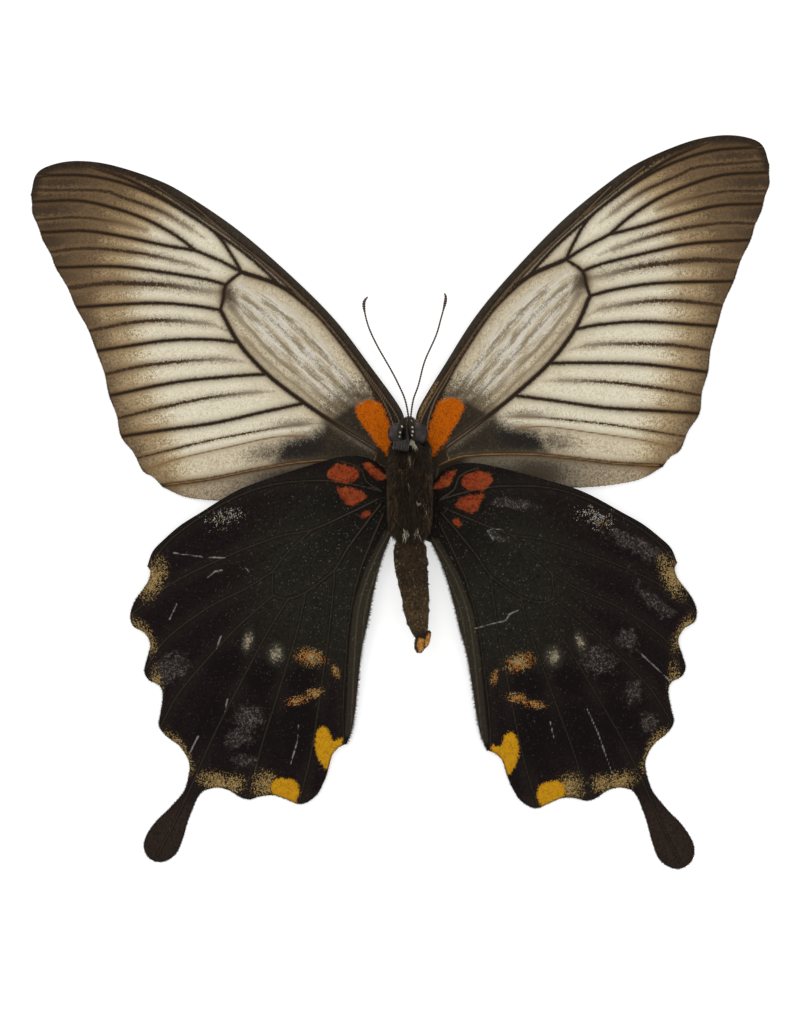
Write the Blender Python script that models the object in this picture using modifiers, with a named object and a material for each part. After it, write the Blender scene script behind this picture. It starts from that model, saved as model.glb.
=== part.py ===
"""A great yellow mormon butterfly, spread and dried, lying on its back.

The underside looks up (+Z), the head points to +Y, and the specimen rests on the back of
its thorax, its forewing tips and the ends of its hindwing tails, all at one level. Lengths
are written in millimetres and scaled by MM to metres where the geometry is made.
"""

import math

import bmesh
import bpy
from mathutils import Vector
from mathutils.geometry import delaunay_2d_cdt

MM = 0.001

# The gap that neighbouring pieces keep, and what a slope or a chord adds to it
GAP = 0.3
MARGIN = 0.07

# Thorax: a blunt rounded body, cut flat at the neck, at the waist and where it lies
BODY_X = -0.2
THORAX_CENTRE = (BODY_X, 1.2, 3.65)
THORAX_RADII = (3.5, 8.4, 3.8)
THORAX_POWER = 2.5
NECK_Y = 8.8
WAIST_Y = -6.35

# Head, between the two eyes, the eyes as half balls on its flat sides, and a ball round all
HEAD_CENTRE = (-0.4, 11.0, 3.95)
HEAD_RADII = (1.6, 2.15, 1.65)
HEAD_POWER = 2.3
HEAD_HALF_WIDTH = 0.95
EYE_RADII = (2.08, 1.8, 1.66)
FACE_RADII = (3.9, 2.2, 1.76)

# Abdomen: places along the body, its half width there and how far its axis has swung
ABDOMEN_STATIONS = (
    (-6.65, 1.7, BODY_X),
    (-7.6, 2.5, -0.15),
    (-9.4, 2.7, -0.05),
    (-11.9, 2.5, 0.12),
    (-14.8, 2.25, 0.6),
    (-17.7, 2.05, 0.85),
    (-19.7, 1.7, 1.0),
    (-21.4, 1.05, 1.3),
)
ABDOMEN_Z = 3.4
ABDOMEN_DEPTH = 0.94
ABDOMEN_RINGS = 7
RING_STEP = 0.16

# Claspers at the end of the abdomen: centre, radii and turn about Z in degrees
VALVES = {
    "valve_left": ((1.2, -23.2, 3.4), (0.72, 1.5, 0.95), -6.0),
    "valve_right": ((2.66, -22.75, 3.45), (0.36, 1.3, 0.8), -14.0),
}

# Wings: thickness of the membrane, of a main vein's crest, and the share that rises above
MEMBRANE = 0.5
VEIN_CREST = 0.9
RISE = 0.2
MAIN_VEIN_HALF_WIDTH = 0.42
BRANCH_HALF_WIDTH = 0.3
VEIN_FADE = 24.0
VEIN_STEP = 3.6
MARGIN_STEP = 2.6
FILL_STEP = 6.0
CLEAR_OF_POINTS = 0.24

# Heights of the wing sheets over the floor, and the radius where each lies flat on it
FORE_ROOT_Z = 1.35
HIND_ROOT_Z = 2.62
FORE_FLAT_FROM = 64.0
HIND_FLAT_FROM = 62.5
FORE_SAG_POWER = 1.0
HIND_SAG_POWER = 1.6

# Hinges, and how the left wings sit: the right ones mirrored, turned and moved forward
FORE_HINGE = (3.41, 7.8)
HIND_HINGE = (4.06, -1.62)
LEFT_FORE_HINGE = (-3.3, 7.66)
LEFT_HIND_HINGE = (-4.14, -0.19)
LEFT_FORE_TURN = math.radians(4.7)
LEFT_HIND_TURN = math.radians(2.93)
TAIL_NECK = (37.1, -45.9)
LEFT_TAIL_TURN = math.radians(-4.6)
LEFT_TAIL_LENGTH = 0.92

# Forewing, right side: the free edge in three runs, then the veins
FORE_COSTA = (
    (2.8, 9.3), (1.7, 10.1), (0.85, 11.4), (0.7, 12.7), (1.5, 15.4), (5.6, 22.2),
    (10.6, 30.0), (16.9, 37.5), (25.0, 45.8), (33.0, 52.3), (38.0, 55.4), (45.1, 58.3),
    (50.5, 59.35), (54.7, 59.0), (57.2, 57.7), (58.3, 54.6),
)
FORE_MARGIN = (
    (58.3, 54.6), (58.3, 51.4), (57.0, 47.0), (55.2, 42.2), (52.5, 35.6), (49.8, 28.3),
    (48.3, 20.9), (46.9, 14.1), (43.8, 8.2), (40.9, 5.4),
)
FORE_SCALLOP = 0.3
FORE_INNER = ((40.9, 5.4), (36.5, 3.2), (28.4, 2.1), (20.0, 2.3), (11.5, 3.1), (5.2, 4.2))
FORE_ROOT_REACH = (0.9, -3.5)

FORE_MAIN_VEINS = {
    "subcosta": ((3.3, 8.9), (1.9, 10.8), (1.5, 12.4), (3.1, 15.9), (7.1, 22.4),
                 (12.8, 30.7), (19.3, 38.2), (26.6, 45.1), (31.5, 50.0)),
    "radius": ((3.9, 8.4), (2.9, 10.6), (2.7, 12.6), (3.9, 16.2), (5.7, 19.3), (7.8, 22.9),
               (11.7, 28.9), (14.5, 32.3), (19.2, 36.4), (25.2, 39.1)),
    "cubitus": ((4.1, 7.3), (6.7, 9.3), (9.6, 11.4), (13.0, 14.0), (16.7, 17.0),
                (22.4, 22.2), (26.6, 27.7), (29.1, 33.2)),
    "anal": ((4.4, 5.6), (6.5, 6.5), (9.3, 7.2), (17.7, 7.5), (25.5, 6.9), (33.0, 6.0),
             (40.3, 5.6)),
}
FORE_BRANCHES = {
    "radius_1": ((13.5, 31.5), (18.5, 37.0), (24.2, 42.9), (30.7, 48.4), (36.9, 53.4)),
    "radius_2": ((18.9, 36.2), (23.5, 41.2), (29.1, 46.1), (35.6, 51.3), (41.7, 55.3),
                 (46.9, 57.7)),
    "radius_3": ((25.2, 39.1), (26.5, 41.9), (29.1, 46.0), (34.3, 50.1), (38.8, 53.0),
                 (43.7, 55.3), (49.4, 56.9), (55.8, 57.4)),
    "stalk": ((25.2, 39.1), (28.3, 41.1), (32.3, 43.2)),
    "radius_4": ((32.3, 43.2), (35.6, 46.1), (40.1, 49.0), (45.3, 51.3), (50.8, 52.9),
                 (57.5, 53.3)),
    "radius_5": ((32.3, 43.2), (37.4, 44.5), (43.7, 46.4), (50.0, 47.9), (56.5, 48.2)),
    "disc": ((25.2, 39.1), (27.9, 37.2), (28.4, 35.2), (29.1, 33.2)),
    "media_1": ((27.9, 37.2), (30.7, 38.3), (37.4, 40.0), (45.5, 41.7), (54.7, 42.3)),
    "media_2": ((29.1, 33.2), (33.5, 34.3), (40.4, 35.3), (51.8, 35.6)),
    "media_3": ((26.6, 27.7), (30.7, 28.5), (38.0, 29.0), (49.1, 28.3)),
    "cubitus_1": ((22.4, 22.2), (27.4, 22.3), (37.4, 22.1), (47.6, 20.9)),
    "cubitus_2": ((16.7, 17.0), (23.5, 16.1), (31.5, 15.0), (40.0, 14.5), (46.2, 14.1)),
    "fold": ((16.9, 11.6), (21.9, 11.9), (29.6, 10.9), (37.8, 9.7), (43.1, 8.4)),
    "cross": ((5.4, 8.3), (6.3, 6.5)),
}

# Hindwing, right side: front edge, scalloped edge to the tail, tail, the rest, inner edge
HIND_COSTA = (
    (3.9, 3.3), (5.5, 5.0), (8.0, 5.9), (11.0, 5.9), (14.5, 5.2), (21.3, 3.4),
    (27.8, 1.4), (34.4, -2.1), (37.6, -3.9), (40.3, -6.0), (42.2, -7.8), (43.2, -10.1),
)
HIND_LOBES = (
    (43.2, -10.1), (42.75, -11.2), (43.4, -13.0), (45.5, -15.7), (46.4, -18.0),
    (46.0, -19.8), (44.3, -20.9), (43.4, -22.8), (44.0, -25.0), (44.6, -27.2),
    (43.9, -28.7), (42.3, -29.6), (41.8, -31.2), (42.3, -34.0), (42.7, -36.2),
    (41.5, -38.0), (39.4, -39.8), (38.1, -42.4), (38.3, -44.7),
)
HIND_TAIL = (
    (38.3, -44.7), (39.3, -47.4), (41.6, -50.3), (44.0, -52.8), (45.6, -55.2),
    (46.1, -57.2), (45.5, -58.9), (44.0, -59.9), (42.3, -59.8), (40.4, -58.4),
    (39.3, -55.7), (38.3, -52.0), (36.9, -48.4), (35.9, -47.1),
)
HIND_REAR = (
    (35.9, -47.1), (33.9, -46.7), (31.8, -47.3), (30.2, -48.4), (28.6, -48.9),
    (27.0, -48.5), (24.7, -48.4), (22.6, -49.2), (20.9, -50.0), (19.5, -49.9),
    (17.7, -48.7), (16.4, -46.6), (15.6, -44.6), (14.9, -42.4), (13.8, -41.2),
    (12.4, -40.6),
)
HIND_INNER = (
    (12.4, -40.6), (11.5, -38.5), (10.7, -34.9), (9.9, -29.6), (9.1, -25.0), (8.0, -21.1),
    (7.0, -16.9), (5.8, -12.7), (4.5, -9.3), (3.4, -7.0),
)
HIND_ROOT_REACH = (4.9, -4.3)

HIND_MAIN_VEINS = {
    "subcosta": ((4.6, 0.0), (8.9, 1.3), (14.0, 2.2), (21.3, 2.1), (27.4, 0.6),
                 (33.5, -2.3), (39.4, -6.2), (42.4, -9.6)),
    "cubitus": ((4.8, -2.0), (7.3, -4.9), (11.0, -9.5), (12.8, -12.2), (17.7, -15.7),
                (20.6, -16.6)),
    "media_3": ((20.6, -16.6), (24.2, -21.8), (28.6, -29.1), (33.9, -38.2), (37.3, -44.9),
                (40.4, -52.0), (43.0, -57.4)),
    "anal": ((4.5, -3.6), (7.0, -8.7), (9.1, -13.6), (11.0, -21.0), (12.1, -29.6),
             (12.7, -35.0), (12.9, -39.7)),
}
HIND_BRANCHES = {
    "humeral": ((4.9, 0.3), (7.0, 1.7), (7.6, 3.6), (8.8, 4.5), (11.0, 5.2)),
    "sector": ((5.2, -1.2), (9.6, -3.1), (16.1, -5.6), (21.9, -6.5), (30.6, -9.4),
               (39.4, -13.2), (45.6, -17.4)),
    "cell_edge": ((16.1, -5.6), (20.1, -8.9), (22.8, -12.0)),
    "disc": ((22.8, -12.0), (23.0, -15.9), (20.6, -16.6)),
    "media_1": ((22.8, -12.0), (27.4, -14.6), (33.9, -17.5), (40.8, -22.2), (44.1, -26.5)),
    "media_2": ((23.0, -15.9), (29.2, -20.9), (35.0, -26.5), (39.3, -31.2), (42.1, -35.7)),
    "cubitus_1": ((17.7, -15.7), (19.5, -22.1), (23.1, -32.0), (26.3, -40.6), (28.5, -48.2)),
    "cubitus_2": ((12.8, -12.2), (14.0, -20.6), (16.1, -31.7), (18.2, -41.7), (20.4, -49.2)),
}

# Antennae: the way each runs, its height over the floor, its thickness and its club's
ANTENNAE = {
    "antenna_left": ((-0.75, 13.42), (-1.1, 16.2), (-2.1, 18.8), (-3.4, 21.3), (-5.4, 24.8),
                     (-6.8, 27.8), (-7.5, 30.4), (-7.6, 32.0), (-7.0, 32.9)),
    "antenna_right": ((0.05, 13.42), (0.4, 16.2), (1.2, 18.6), (2.2, 22.4), (4.0, 26.5),
                      (4.8, 29.2), (5.6, 32.4), (5.4, 33.5)),
}
ANTENNA_Z = (3.3, 2.7)
ANTENNA_RADIUS = 0.25
CLUB_RADIUS = 0.38
CLUB_LENGTH = 3.4

# Palps over the face: the way each runs and its half thickness along it
PALPS = {
    "palp_left": ((-1.85, 10.2), (-1.75, 11.0), (-1.5, 11.9), (-1.2, 12.7)),
    "palp_right": ((0.35, 9.9), (0.2, 10.6), (0.1, 11.4), (-0.1, 12.1), (-0.25, 12.7)),
}
PALP_RADII = (0.3, 0.38, 0.38, 0.26)

# Proboscis: a coil lying on its side behind the face, its axis across the body
COIL_START = (-0.75, 10.3)
COIL_CENTRE = (8.85, 7.32)
COIL_X = (-0.75, -2.75)
COIL_RADII = (0.8, 0.5)
COIL_TURNS = 3.5
PROBOSCIS_RADII = (0.25, 0.16)

# Legs folded on the breast, right side, from root over knee to foot: x, y and half thickness
LEGS = {
    "foreleg": ((1.0, 5.5, 0.3), (1.0, 6.1, 0.28), (0.92, 6.6, 0.26), (0.67, 6.85, 0.25),
                (0.43, 6.6, 0.25), (0.38, 5.8, 0.24), (0.38, 4.2, 0.22), (0.38, 2.6, 0.2),
                (0.4, 0.6, 0.16)),
    "midleg": ((1.85, 0.8, 0.3), (1.85, 2.6, 0.3), (1.82, 4.0, 0.27), (1.53, 4.35, 0.25),
               (1.24, 4.0, 0.25), (1.2, 2.6, 0.24), (1.2, 0.4, 0.22), (1.15, -1.2, 0.2),
               (0.9, -3.2, 0.16)),
    "hindleg": ((1.95, -3.1, 0.3), (2.25, -1.2, 0.3), (2.42, -0.1, 0.27), (2.75, 0.25, 0.25),
                (3.0, -0.1, 0.25), (2.85, -1.6, 0.24), (2.3, -3.9, 0.22), (1.35, -5.2, 0.2),
                (0.5, -6.1, 0.16)),
}

# Colours as red, green, blue, then roughness
LOOKS = {
    "thorax": (0.055, 0.045, 0.032, 0.85),
    "abdomen": (0.06, 0.048, 0.033, 0.8),
    "head": (0.05, 0.045, 0.035, 0.8),
    "eye": (0.05, 0.045, 0.045, 0.35),
    "palp": (0.45, 0.4, 0.28, 0.8),
    "proboscis": (0.05, 0.045, 0.035, 0.5),
    "antenna": (0.04, 0.025, 0.018, 0.6),
    "leg": (0.09, 0.07, 0.045, 0.7),
    "valve": (0.5, 0.33, 0.09, 0.75),
    "forewing": (0.62, 0.55, 0.4, 0.7),
    "hindwing": (0.03, 0.027, 0.022, 0.7),
}


def clear_scene():
    """Remove whatever the scene holds."""
    for old in list(bpy.data.objects):
        bpy.data.objects.remove(old, do_unlink=True)


def ease(share):
    """Go from 0 to 1 with level ends."""
    share = min(max(share, 0.0), 1.0)
    return share * share * (3.0 - 2.0 * share)


def smooth_path(points, step):
    """Points about one step apart on a Catmull-Rom curve through the given ones."""
    knots = [Vector(point) for point in points]
    knots = [2 * knots[0] - knots[1]] + knots + [2 * knots[-1] - knots[-2]]
    path = []
    for before, start, end, after in zip(knots, knots[1:], knots[2:], knots[3:]):
        pieces = max(1, round((end - start).length / step))
        for index in range(pieces):
            t = index / pieces
            bend = 2 * before - 5 * start + 4 * end - after
            turn = 3 * (start - end) + after - before
            path.append(start + 0.5 * t * (end - before + t * (bend + t * turn)))
    return path + [knots[-2]]


def material_for(name):
    """The Principled material of a kind of sub-part."""
    kind = name.split("_")[0]
    kind = "leg" if kind.endswith("leg") else kind
    if kind in bpy.data.materials:
        return bpy.data.materials[kind]
    red, green, blue, roughness = LOOKS[kind]
    material = bpy.data.materials.new(kind)
    material.use_nodes = True
    shader = material.node_tree.nodes["Principled BSDF"]
    shader.inputs["Base Color"].default_value = (red, green, blue, 1.0)
    shader.inputs["Roughness"].default_value = roughness
    material.diffuse_color = (red, green, blue, 1.0)
    return material


def add_part(parts, name, data):
    """Put a mesh or a curve in the collection as a named sub-part."""
    sub_part = bpy.data.objects.new(name, data)
    data.materials.append(material_for(name))
    parts.objects.link(sub_part)
    return sub_part


def add_body(parts, name, shape, closed=True):
    """Turn a finished bmesh, in millimetres, into a smooth-shaded sub-part."""
    if closed:
        bmesh.ops.recalc_face_normals(shape, faces=shape.faces)
    bmesh.ops.scale(shape, vec=(MM, MM, MM), verts=shape.verts)
    mesh = bpy.data.meshes.new(name)
    shape.to_mesh(mesh)
    shape.free()
    mesh.shade_smooth()
    mesh.set_sharp_from_angle(angle=math.radians(40))
    return add_part(parts, name, mesh)


def cut_flat(shape, point, outward):
    """Cut a closed bmesh with a plane, drop what lies outward and close it."""
    everything = shape.verts[:] + shape.edges[:] + shape.faces[:]
    cut = bmesh.ops.bisect_plane(
        shape, geom=everything, plane_co=point, plane_no=outward, clear_outer=True
    )
    rim = [item for item in cut["geom_cut"] if isinstance(item, bmesh.types.BMEdge)]
    bmesh.ops.edgeloop_fill(shape, edges=rim)


def blunt_ball(centre, radii, power, segments, rings):
    """A ball with its poles along Y, squared off by a power over 2."""
    shape = bmesh.new()
    bmesh.ops.create_uvsphere(shape, u_segments=segments, v_segments=rings, radius=1.0)
    for vertex in shape.verts:
        x, z, y = vertex.co
        reach = (abs(x) ** power + abs(y) ** power + abs(z) ** power) ** (-1.0 / power)
        vertex.co = [c + r * reach * v for c, r, v in zip(centre, radii, (x, y, z))]
    return shape


def half_width(y, z):
    """The thorax's half width at a place along the body and a height."""
    _, centre_y, centre_z = THORAX_CENTRE
    rx, ry, rz = THORAX_RADII
    along = abs((y - centre_y) / ry) ** THORAX_POWER
    up = abs((z - centre_z) / rz) ** THORAX_POWER
    return rx * max(0.0, 1.0 - along - up) ** (1.0 / THORAX_POWER)


def above(centre, radii, power, x, y, lift):
    """The point a lift away, square to it, from the upper face of a blunt ball."""
    u = (x - centre[0]) / radii[0]
    v = (y - centre[1]) / radii[1]
    w = max(0.02, 1.0 - abs(u) ** power - abs(v) ** power) ** (1.0 / power)
    slope = [math.copysign(abs(s) ** (power - 1.0), s) / r for s, r in zip((u, v, w), radii)]
    return Vector((x, y, centre[2] + radii[2] * w)) + Vector(slope).normalized() * lift


def add_thorax(parts):
    """The thorax, with flats at the neck, at the waist and under the back."""
    shape = blunt_ball(THORAX_CENTRE, THORAX_RADII, THORAX_POWER, 28, 20)
    cut_flat(shape, (0, NECK_Y, 0), (0, 1, 0))
    cut_flat(shape, (0, WAIST_Y, 0), (0, -1, 0))
    cut_flat(shape, (0, 0, 0), (0, 0, -1))
    add_body(parts, "thorax", shape)


def add_head(parts):
    """The head capsule between the eyes, and the eyes on its sides."""
    shape = blunt_ball(HEAD_CENTRE, HEAD_RADII, HEAD_POWER, 20, 14)
    cut_flat(shape, (0, NECK_Y + GAP, 0), (0, -1, 0))
    for side in (-1, 1):
        cut_flat(shape, (HEAD_CENTRE[0] + side * HEAD_HALF_WIDTH, 0, 0), (side, 0, 0))
    add_body(parts, "head", shape)
    for name, side in (("eye_left", -1), ("eye_right", 1)):
        inner = HEAD_CENTRE[0] + side * (HEAD_HALF_WIDTH + GAP)
        shape = blunt_ball((inner, *HEAD_CENTRE[1:]), EYE_RADII, 2.0, 20, 16)
        cut_flat(shape, (inner, 0, 0), (-side, 0, 0))
        add_body(parts, name, shape)


def abdomen_station(y):
    """The abdomen's half width and the x of its axis, read between the stations."""
    for (y0, w0, x0), (y1, w1, x1) in zip(ABDOMEN_STATIONS, ABDOMEN_STATIONS[1:]):
        if y >= y1:
            share = min(1.0, (y0 - y) / (y0 - y1))
            return w0 + (w1 - w0) * share, x0 + (x1 - x0) * share
    return ABDOMEN_STATIONS[-1][1:]


def add_abdomen(parts):
    """The abdomen as rings of slightly overlapping segments on a swinging axis."""
    front = ABDOMEN_STATIONS[0][0]
    back = ABDOMEN_STATIONS[-1][0]
    rings, segments = 30, 20
    shape = bmesh.new()
    bmesh.ops.create_uvsphere(shape, u_segments=segments, v_segments=rings + 2, radius=1.0)
    for vertex in shape.verts:
        polar = math.acos(max(-1.0, min(1.0, vertex.co.z))) / math.pi * (rings + 2)
        row = min(max(round(polar) - 1, 0), rings)
        is_pole = round(polar) in (0, rings + 2)
        y = front + (back - front) * row / rings
        wide, axis_x = abdomen_station(y)
        within_ring = (row / rings * ABDOMEN_RINGS) % 1.0
        wide -= RING_STEP * within_ring ** 3
        across = Vector((vertex.co.x, vertex.co.y))
        across = Vector((0.0, 0.0)) if is_pole else across.normalized() * wide
        vertex.co = (axis_x + across.x, y, ABDOMEN_Z + across.y * ABDOMEN_DEPTH)
    add_body(parts, "abdomen", shape)


def add_valves(parts):
    """The two claspers behind the abdomen."""
    for name, (centre, radii, turn) in VALVES.items():
        shape = blunt_ball((0, 0, 0), radii, 2.2, 14, 10)
        spun = math.radians(turn)
        for vertex in shape.verts:
            x, y, z = vertex.co
            vertex.co = (
                centre[0] + x * math.cos(spun) - y * math.sin(spun),
                centre[1] + x * math.sin(spun) + y * math.cos(spun),
                centre[2] + z,
            )
        add_body(parts, name, shape)


def add_tube(parts, name, points, radii):
    """A round stem through the points, each with its own half thickness."""
    curve = bpy.data.curves.new(name, "CURVE")
    curve.dimensions = "3D"
    curve.bevel_depth = MM
    curve.bevel_resolution = 2
    curve.use_fill_caps = True
    spline = curve.splines.new("POLY")
    spline.points.add(len(points) - 1)
    for knot, point, radius in zip(spline.points, points, radii):
        knot.co = (*(Vector(point) * MM), 1.0)
        knot.radius = radius
    return add_part(parts, name, curve)


def add_antennae(parts):
    """The clubbed feelers, running forward from the front of the head."""
    for name, way in ANTENNAE.items():
        path = smooth_path(way, 1.6)
        left = [0.0]
        for start, end in zip(reversed(path), reversed(path[:-1])):
            left.append(left[-1] + (end - start).length)
        length = left[-1]
        points = []
        radii = []
        for point, to_tip in zip(path, reversed(left)):
            along = 1.0 - to_tip / length
            z = ANTENNA_Z[0] + (ANTENNA_Z[1] - ANTENNA_Z[0]) * along
            swell = math.sin(math.pi * min(1.0, (to_tip + 0.25) / CLUB_LENGTH)) ** 2
            swell = swell if to_tip < CLUB_LENGTH else 0.0
            points.append((point.x, point.y, z))
            radii.append(ANTENNA_RADIUS + (CLUB_RADIUS - ANTENNA_RADIUS) * swell)
        radii[-1] = 0.6 * ANTENNA_RADIUS
        add_tube(parts, name, points, radii)


def add_palps(parts):
    """The palps, hugging the face from the mouth to the brow."""
    for name, way in PALPS.items():
        path = smooth_path(way, 0.55)
        points = []
        radii = []
        for index, point in enumerate(path):
            place = index / (len(path) - 1) * (len(PALP_RADII) - 1)
            low = min(int(place), len(PALP_RADII) - 2)
            radius = PALP_RADII[low] + (PALP_RADII[low + 1] - PALP_RADII[low]) * (place - low)
            points.append(above(HEAD_CENTRE, FACE_RADII, HEAD_POWER, *point, GAP + radius))
            radii.append(radius)
        add_tube(parts, name, points, radii)


def add_proboscis(parts):
    """The tongue: out of the mouth and wound up in a coil that has slipped to the left."""
    x, y = COIL_START
    mouth = above(HEAD_CENTRE, HEAD_RADII, HEAD_POWER, x, y, GAP + MARGIN)
    points = [tuple(mouth), (x, y + 0.02, mouth.z + 0.55)]
    centre_y, centre_z = COIL_CENTRE
    pieces = round(COIL_TURNS * 12)
    for index in range(pieces + 1):
        share = index / pieces
        angle = math.radians(40) + share * COIL_TURNS * 2.0 * math.pi
        radius = COIL_RADII[0] + (COIL_RADII[1] - COIL_RADII[0]) * share
        points.append((
            COIL_X[0] + (COIL_X[1] - COIL_X[0]) * share,
            centre_y + radius * math.cos(angle),
            centre_z + radius * math.sin(angle),
        ))
    radii = [
        PROBOSCIS_RADII[0] + (PROBOSCIS_RADII[1] - PROBOSCIS_RADII[0]) * i / (len(points) - 1)
        for i in range(len(points))
    ]
    add_tube(parts, "proboscis", points, radii)


def add_legs(parts):
    """Six legs folded flat over the breast, each a gap above it."""
    lift = GAP + MARGIN
    for kind, way in LEGS.items():
        for side_name, side in (("left", -1), ("right", 1)):
            points = [
                above(THORAX_CENTRE, THORAX_RADII, THORAX_POWER, BODY_X + side * x, y, lift + radius)
                for x, y, radius in way
            ]
            add_tube(parts, f"{kind}_{side_name}", points, [knot[2] for knot in way])


def turned(point, centre, angle, stretch=1.0):
    """A point turned about a centre, and drawn nearer to it or away from it."""
    reach = (Vector(point) - Vector(centre)) * stretch
    return Vector(centre) + Vector((
        reach.x * math.cos(angle) - reach.y * math.sin(angle),
        reach.x * math.sin(angle) + reach.y * math.cos(angle),
    ))


def placed(point, wing, side):
    """A point of the right wing's drawing where it lies on the given side."""
    if side > 0:
        return Vector(point)
    hinge, left_hinge, turn = {
        "fore": (FORE_HINGE, LEFT_FORE_HINGE, LEFT_FORE_TURN),
        "hind": (HIND_HINGE, LEFT_HIND_HINGE, LEFT_HIND_TURN),
    }[wing]
    if wing == "hind":
        past_neck = ease((TAIL_NECK[1] - point[1] + 1.5) / 3.0) if point[0] > 35.0 else 0.0
        bent = turned(point, TAIL_NECK, -LEFT_TAIL_TURN, LEFT_TAIL_LENGTH)
        point = Vector(point).lerp(bent, past_neck)
    mirrored = Vector((-(point[0] - hinge[0]), point[1] - hinge[1]))
    return turned(mirrored + Vector(left_hinge), left_hinge, turn)


def root_edge(y_from, y_to, z, side, pieces=7):
    """The wing's root, a gap outside the thorax's flank."""
    edge = []
    for index in range(pieces + 1):
        y = y_from + (y_to - y_from) * index / pieces
        x = half_width(y, z)
        along = (y - THORAX_CENTRE[1]) / THORAX_RADII[1]
        outward = Vector((
            (x / THORAX_RADII[0]) ** (THORAX_POWER - 1.0) / THORAX_RADII[0],
            math.copysign(abs(along) ** (THORAX_POWER - 1.0), along) / THORAX_RADII[1],
        )).normalized() * (GAP + MARGIN)
        edge.append(Vector((BODY_X + side * (x + outward.x), y + outward.y)))
    return edge


def scalloped(ends, depth):
    """A margin through the vein ends, drawn in between them by a depth."""
    margin = [Vector(ends[0])]
    for start, end in zip(ends, ends[1:]):
        run = Vector(end) - Vector(start)
        inward = Vector((run.y, -run.x)).normalized() * depth
        margin += [(Vector(start) + Vector(end)) / 2 + inward, Vector(end)]
    return margin


def wing_outline(wing, side):
    """The closed outline of a wing: its free edge, then its root."""
    if wing == "fore":
        runs = (FORE_COSTA, scalloped(FORE_MARGIN, FORE_SCALLOP), FORE_INNER)
        hinge = FORE_HINGE if side > 0 else LEFT_FORE_HINGE
        reach, root_z = FORE_ROOT_REACH, FORE_ROOT_Z + 0.5 * VEIN_CREST
    else:
        runs = (HIND_COSTA, HIND_LOBES, HIND_TAIL, HIND_REAR, HIND_INNER)
        hinge = HIND_HINGE if side > 0 else LEFT_HIND_HINGE
        reach, root_z = HIND_ROOT_REACH, THORAX_CENTRE[2]
    outline = []
    for run in runs:
        path = smooth_path([placed(point, wing, side) for point in run], MARGIN_STEP)
        outline += path[1:] if outline else path
    return outline + root_edge(hinge[1] + reach[1], hinge[1] + reach[0], root_z, side)


def vein_paths(wing, side):
    """Every vein of a wing as a path with its half width."""
    main = FORE_MAIN_VEINS if wing == "fore" else HIND_MAIN_VEINS
    branches = FORE_BRANCHES if wing == "fore" else HIND_BRANCHES
    paths = []
    for veins, wide in ((main, MAIN_VEIN_HALF_WIDTH), (branches, BRANCH_HALF_WIDTH)):
        for way in veins.values():
            path = smooth_path([placed(point, wing, side) for point in way], VEIN_STEP)
            paths.append((path, wide))
    return paths


def inside(point, outline):
    """Whether a point lies inside a closed outline."""
    crossings = 0
    for start, end in zip(outline, outline[1:] + outline[:1]):
        if (start.y > point.y) != (end.y > point.y):
            share = (point.y - start.y) / (end.y - start.y)
            crossings += point.x < start.x + (end.x - start.x) * share
    return crossings % 2 == 1


def distance_to_path(point, path):
    """How far a point lies from the nearest stretch of a path."""
    nearest = math.inf
    for start, end in zip(path, path[1:]):
        run = end - start
        share = min(max((point - start).dot(run) / run.length_squared, 0.0), 1.0)
        nearest = min(nearest, (start + run * share - point).length)
    return nearest


def wing_points(outline, paths):
    """The outline's points, then the crests', the flanks' and a sparse filling."""
    points = list(outline)
    crests = []
    for path, _ in paths:
        chain = []
        for point in path:
            same = [i for i, other in enumerate(points) if (other - point).length < CLEAR_OF_POINTS]
            if not same and distance_to_path(point, outline) < CLEAR_OF_POINTS:
                continue
            if not same:
                points.append(point)
            chain.append(same[0] if same else len(points) - 1)
        crests += [(a, b) for a, b in zip(chain, chain[1:]) if a != b]

    def keep(point, room):
        on_wing = inside(point, outline) and distance_to_path(point, outline) > 0.5 * room
        if on_wing and all((other - point).length > room for other in points):
            points.append(point)

    for path, wide in paths:
        for before, point, after in zip(path, path[1:], path[2:]):
            along = (after - before).normalized()
            for side in (-1, 1):
                keep(point + Vector((-along.y, along.x)) * wide * side, CLEAR_OF_POINTS)
    low_x = min(point.x for point in outline)
    low_y = min(point.y for point in outline)
    columns = int((max(point.x for point in outline) - low_x) / FILL_STEP) + 1
    rows = int((max(point.y for point in outline) - low_y) / FILL_STEP) + 1
    for row in range(rows):
        for column in range(columns):
            x = low_x + (column + 0.5 * (row % 2)) * FILL_STEP
            keep(Vector((x, low_y + row * FILL_STEP)), 0.4 * FILL_STEP)
    return points, crests


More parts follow.
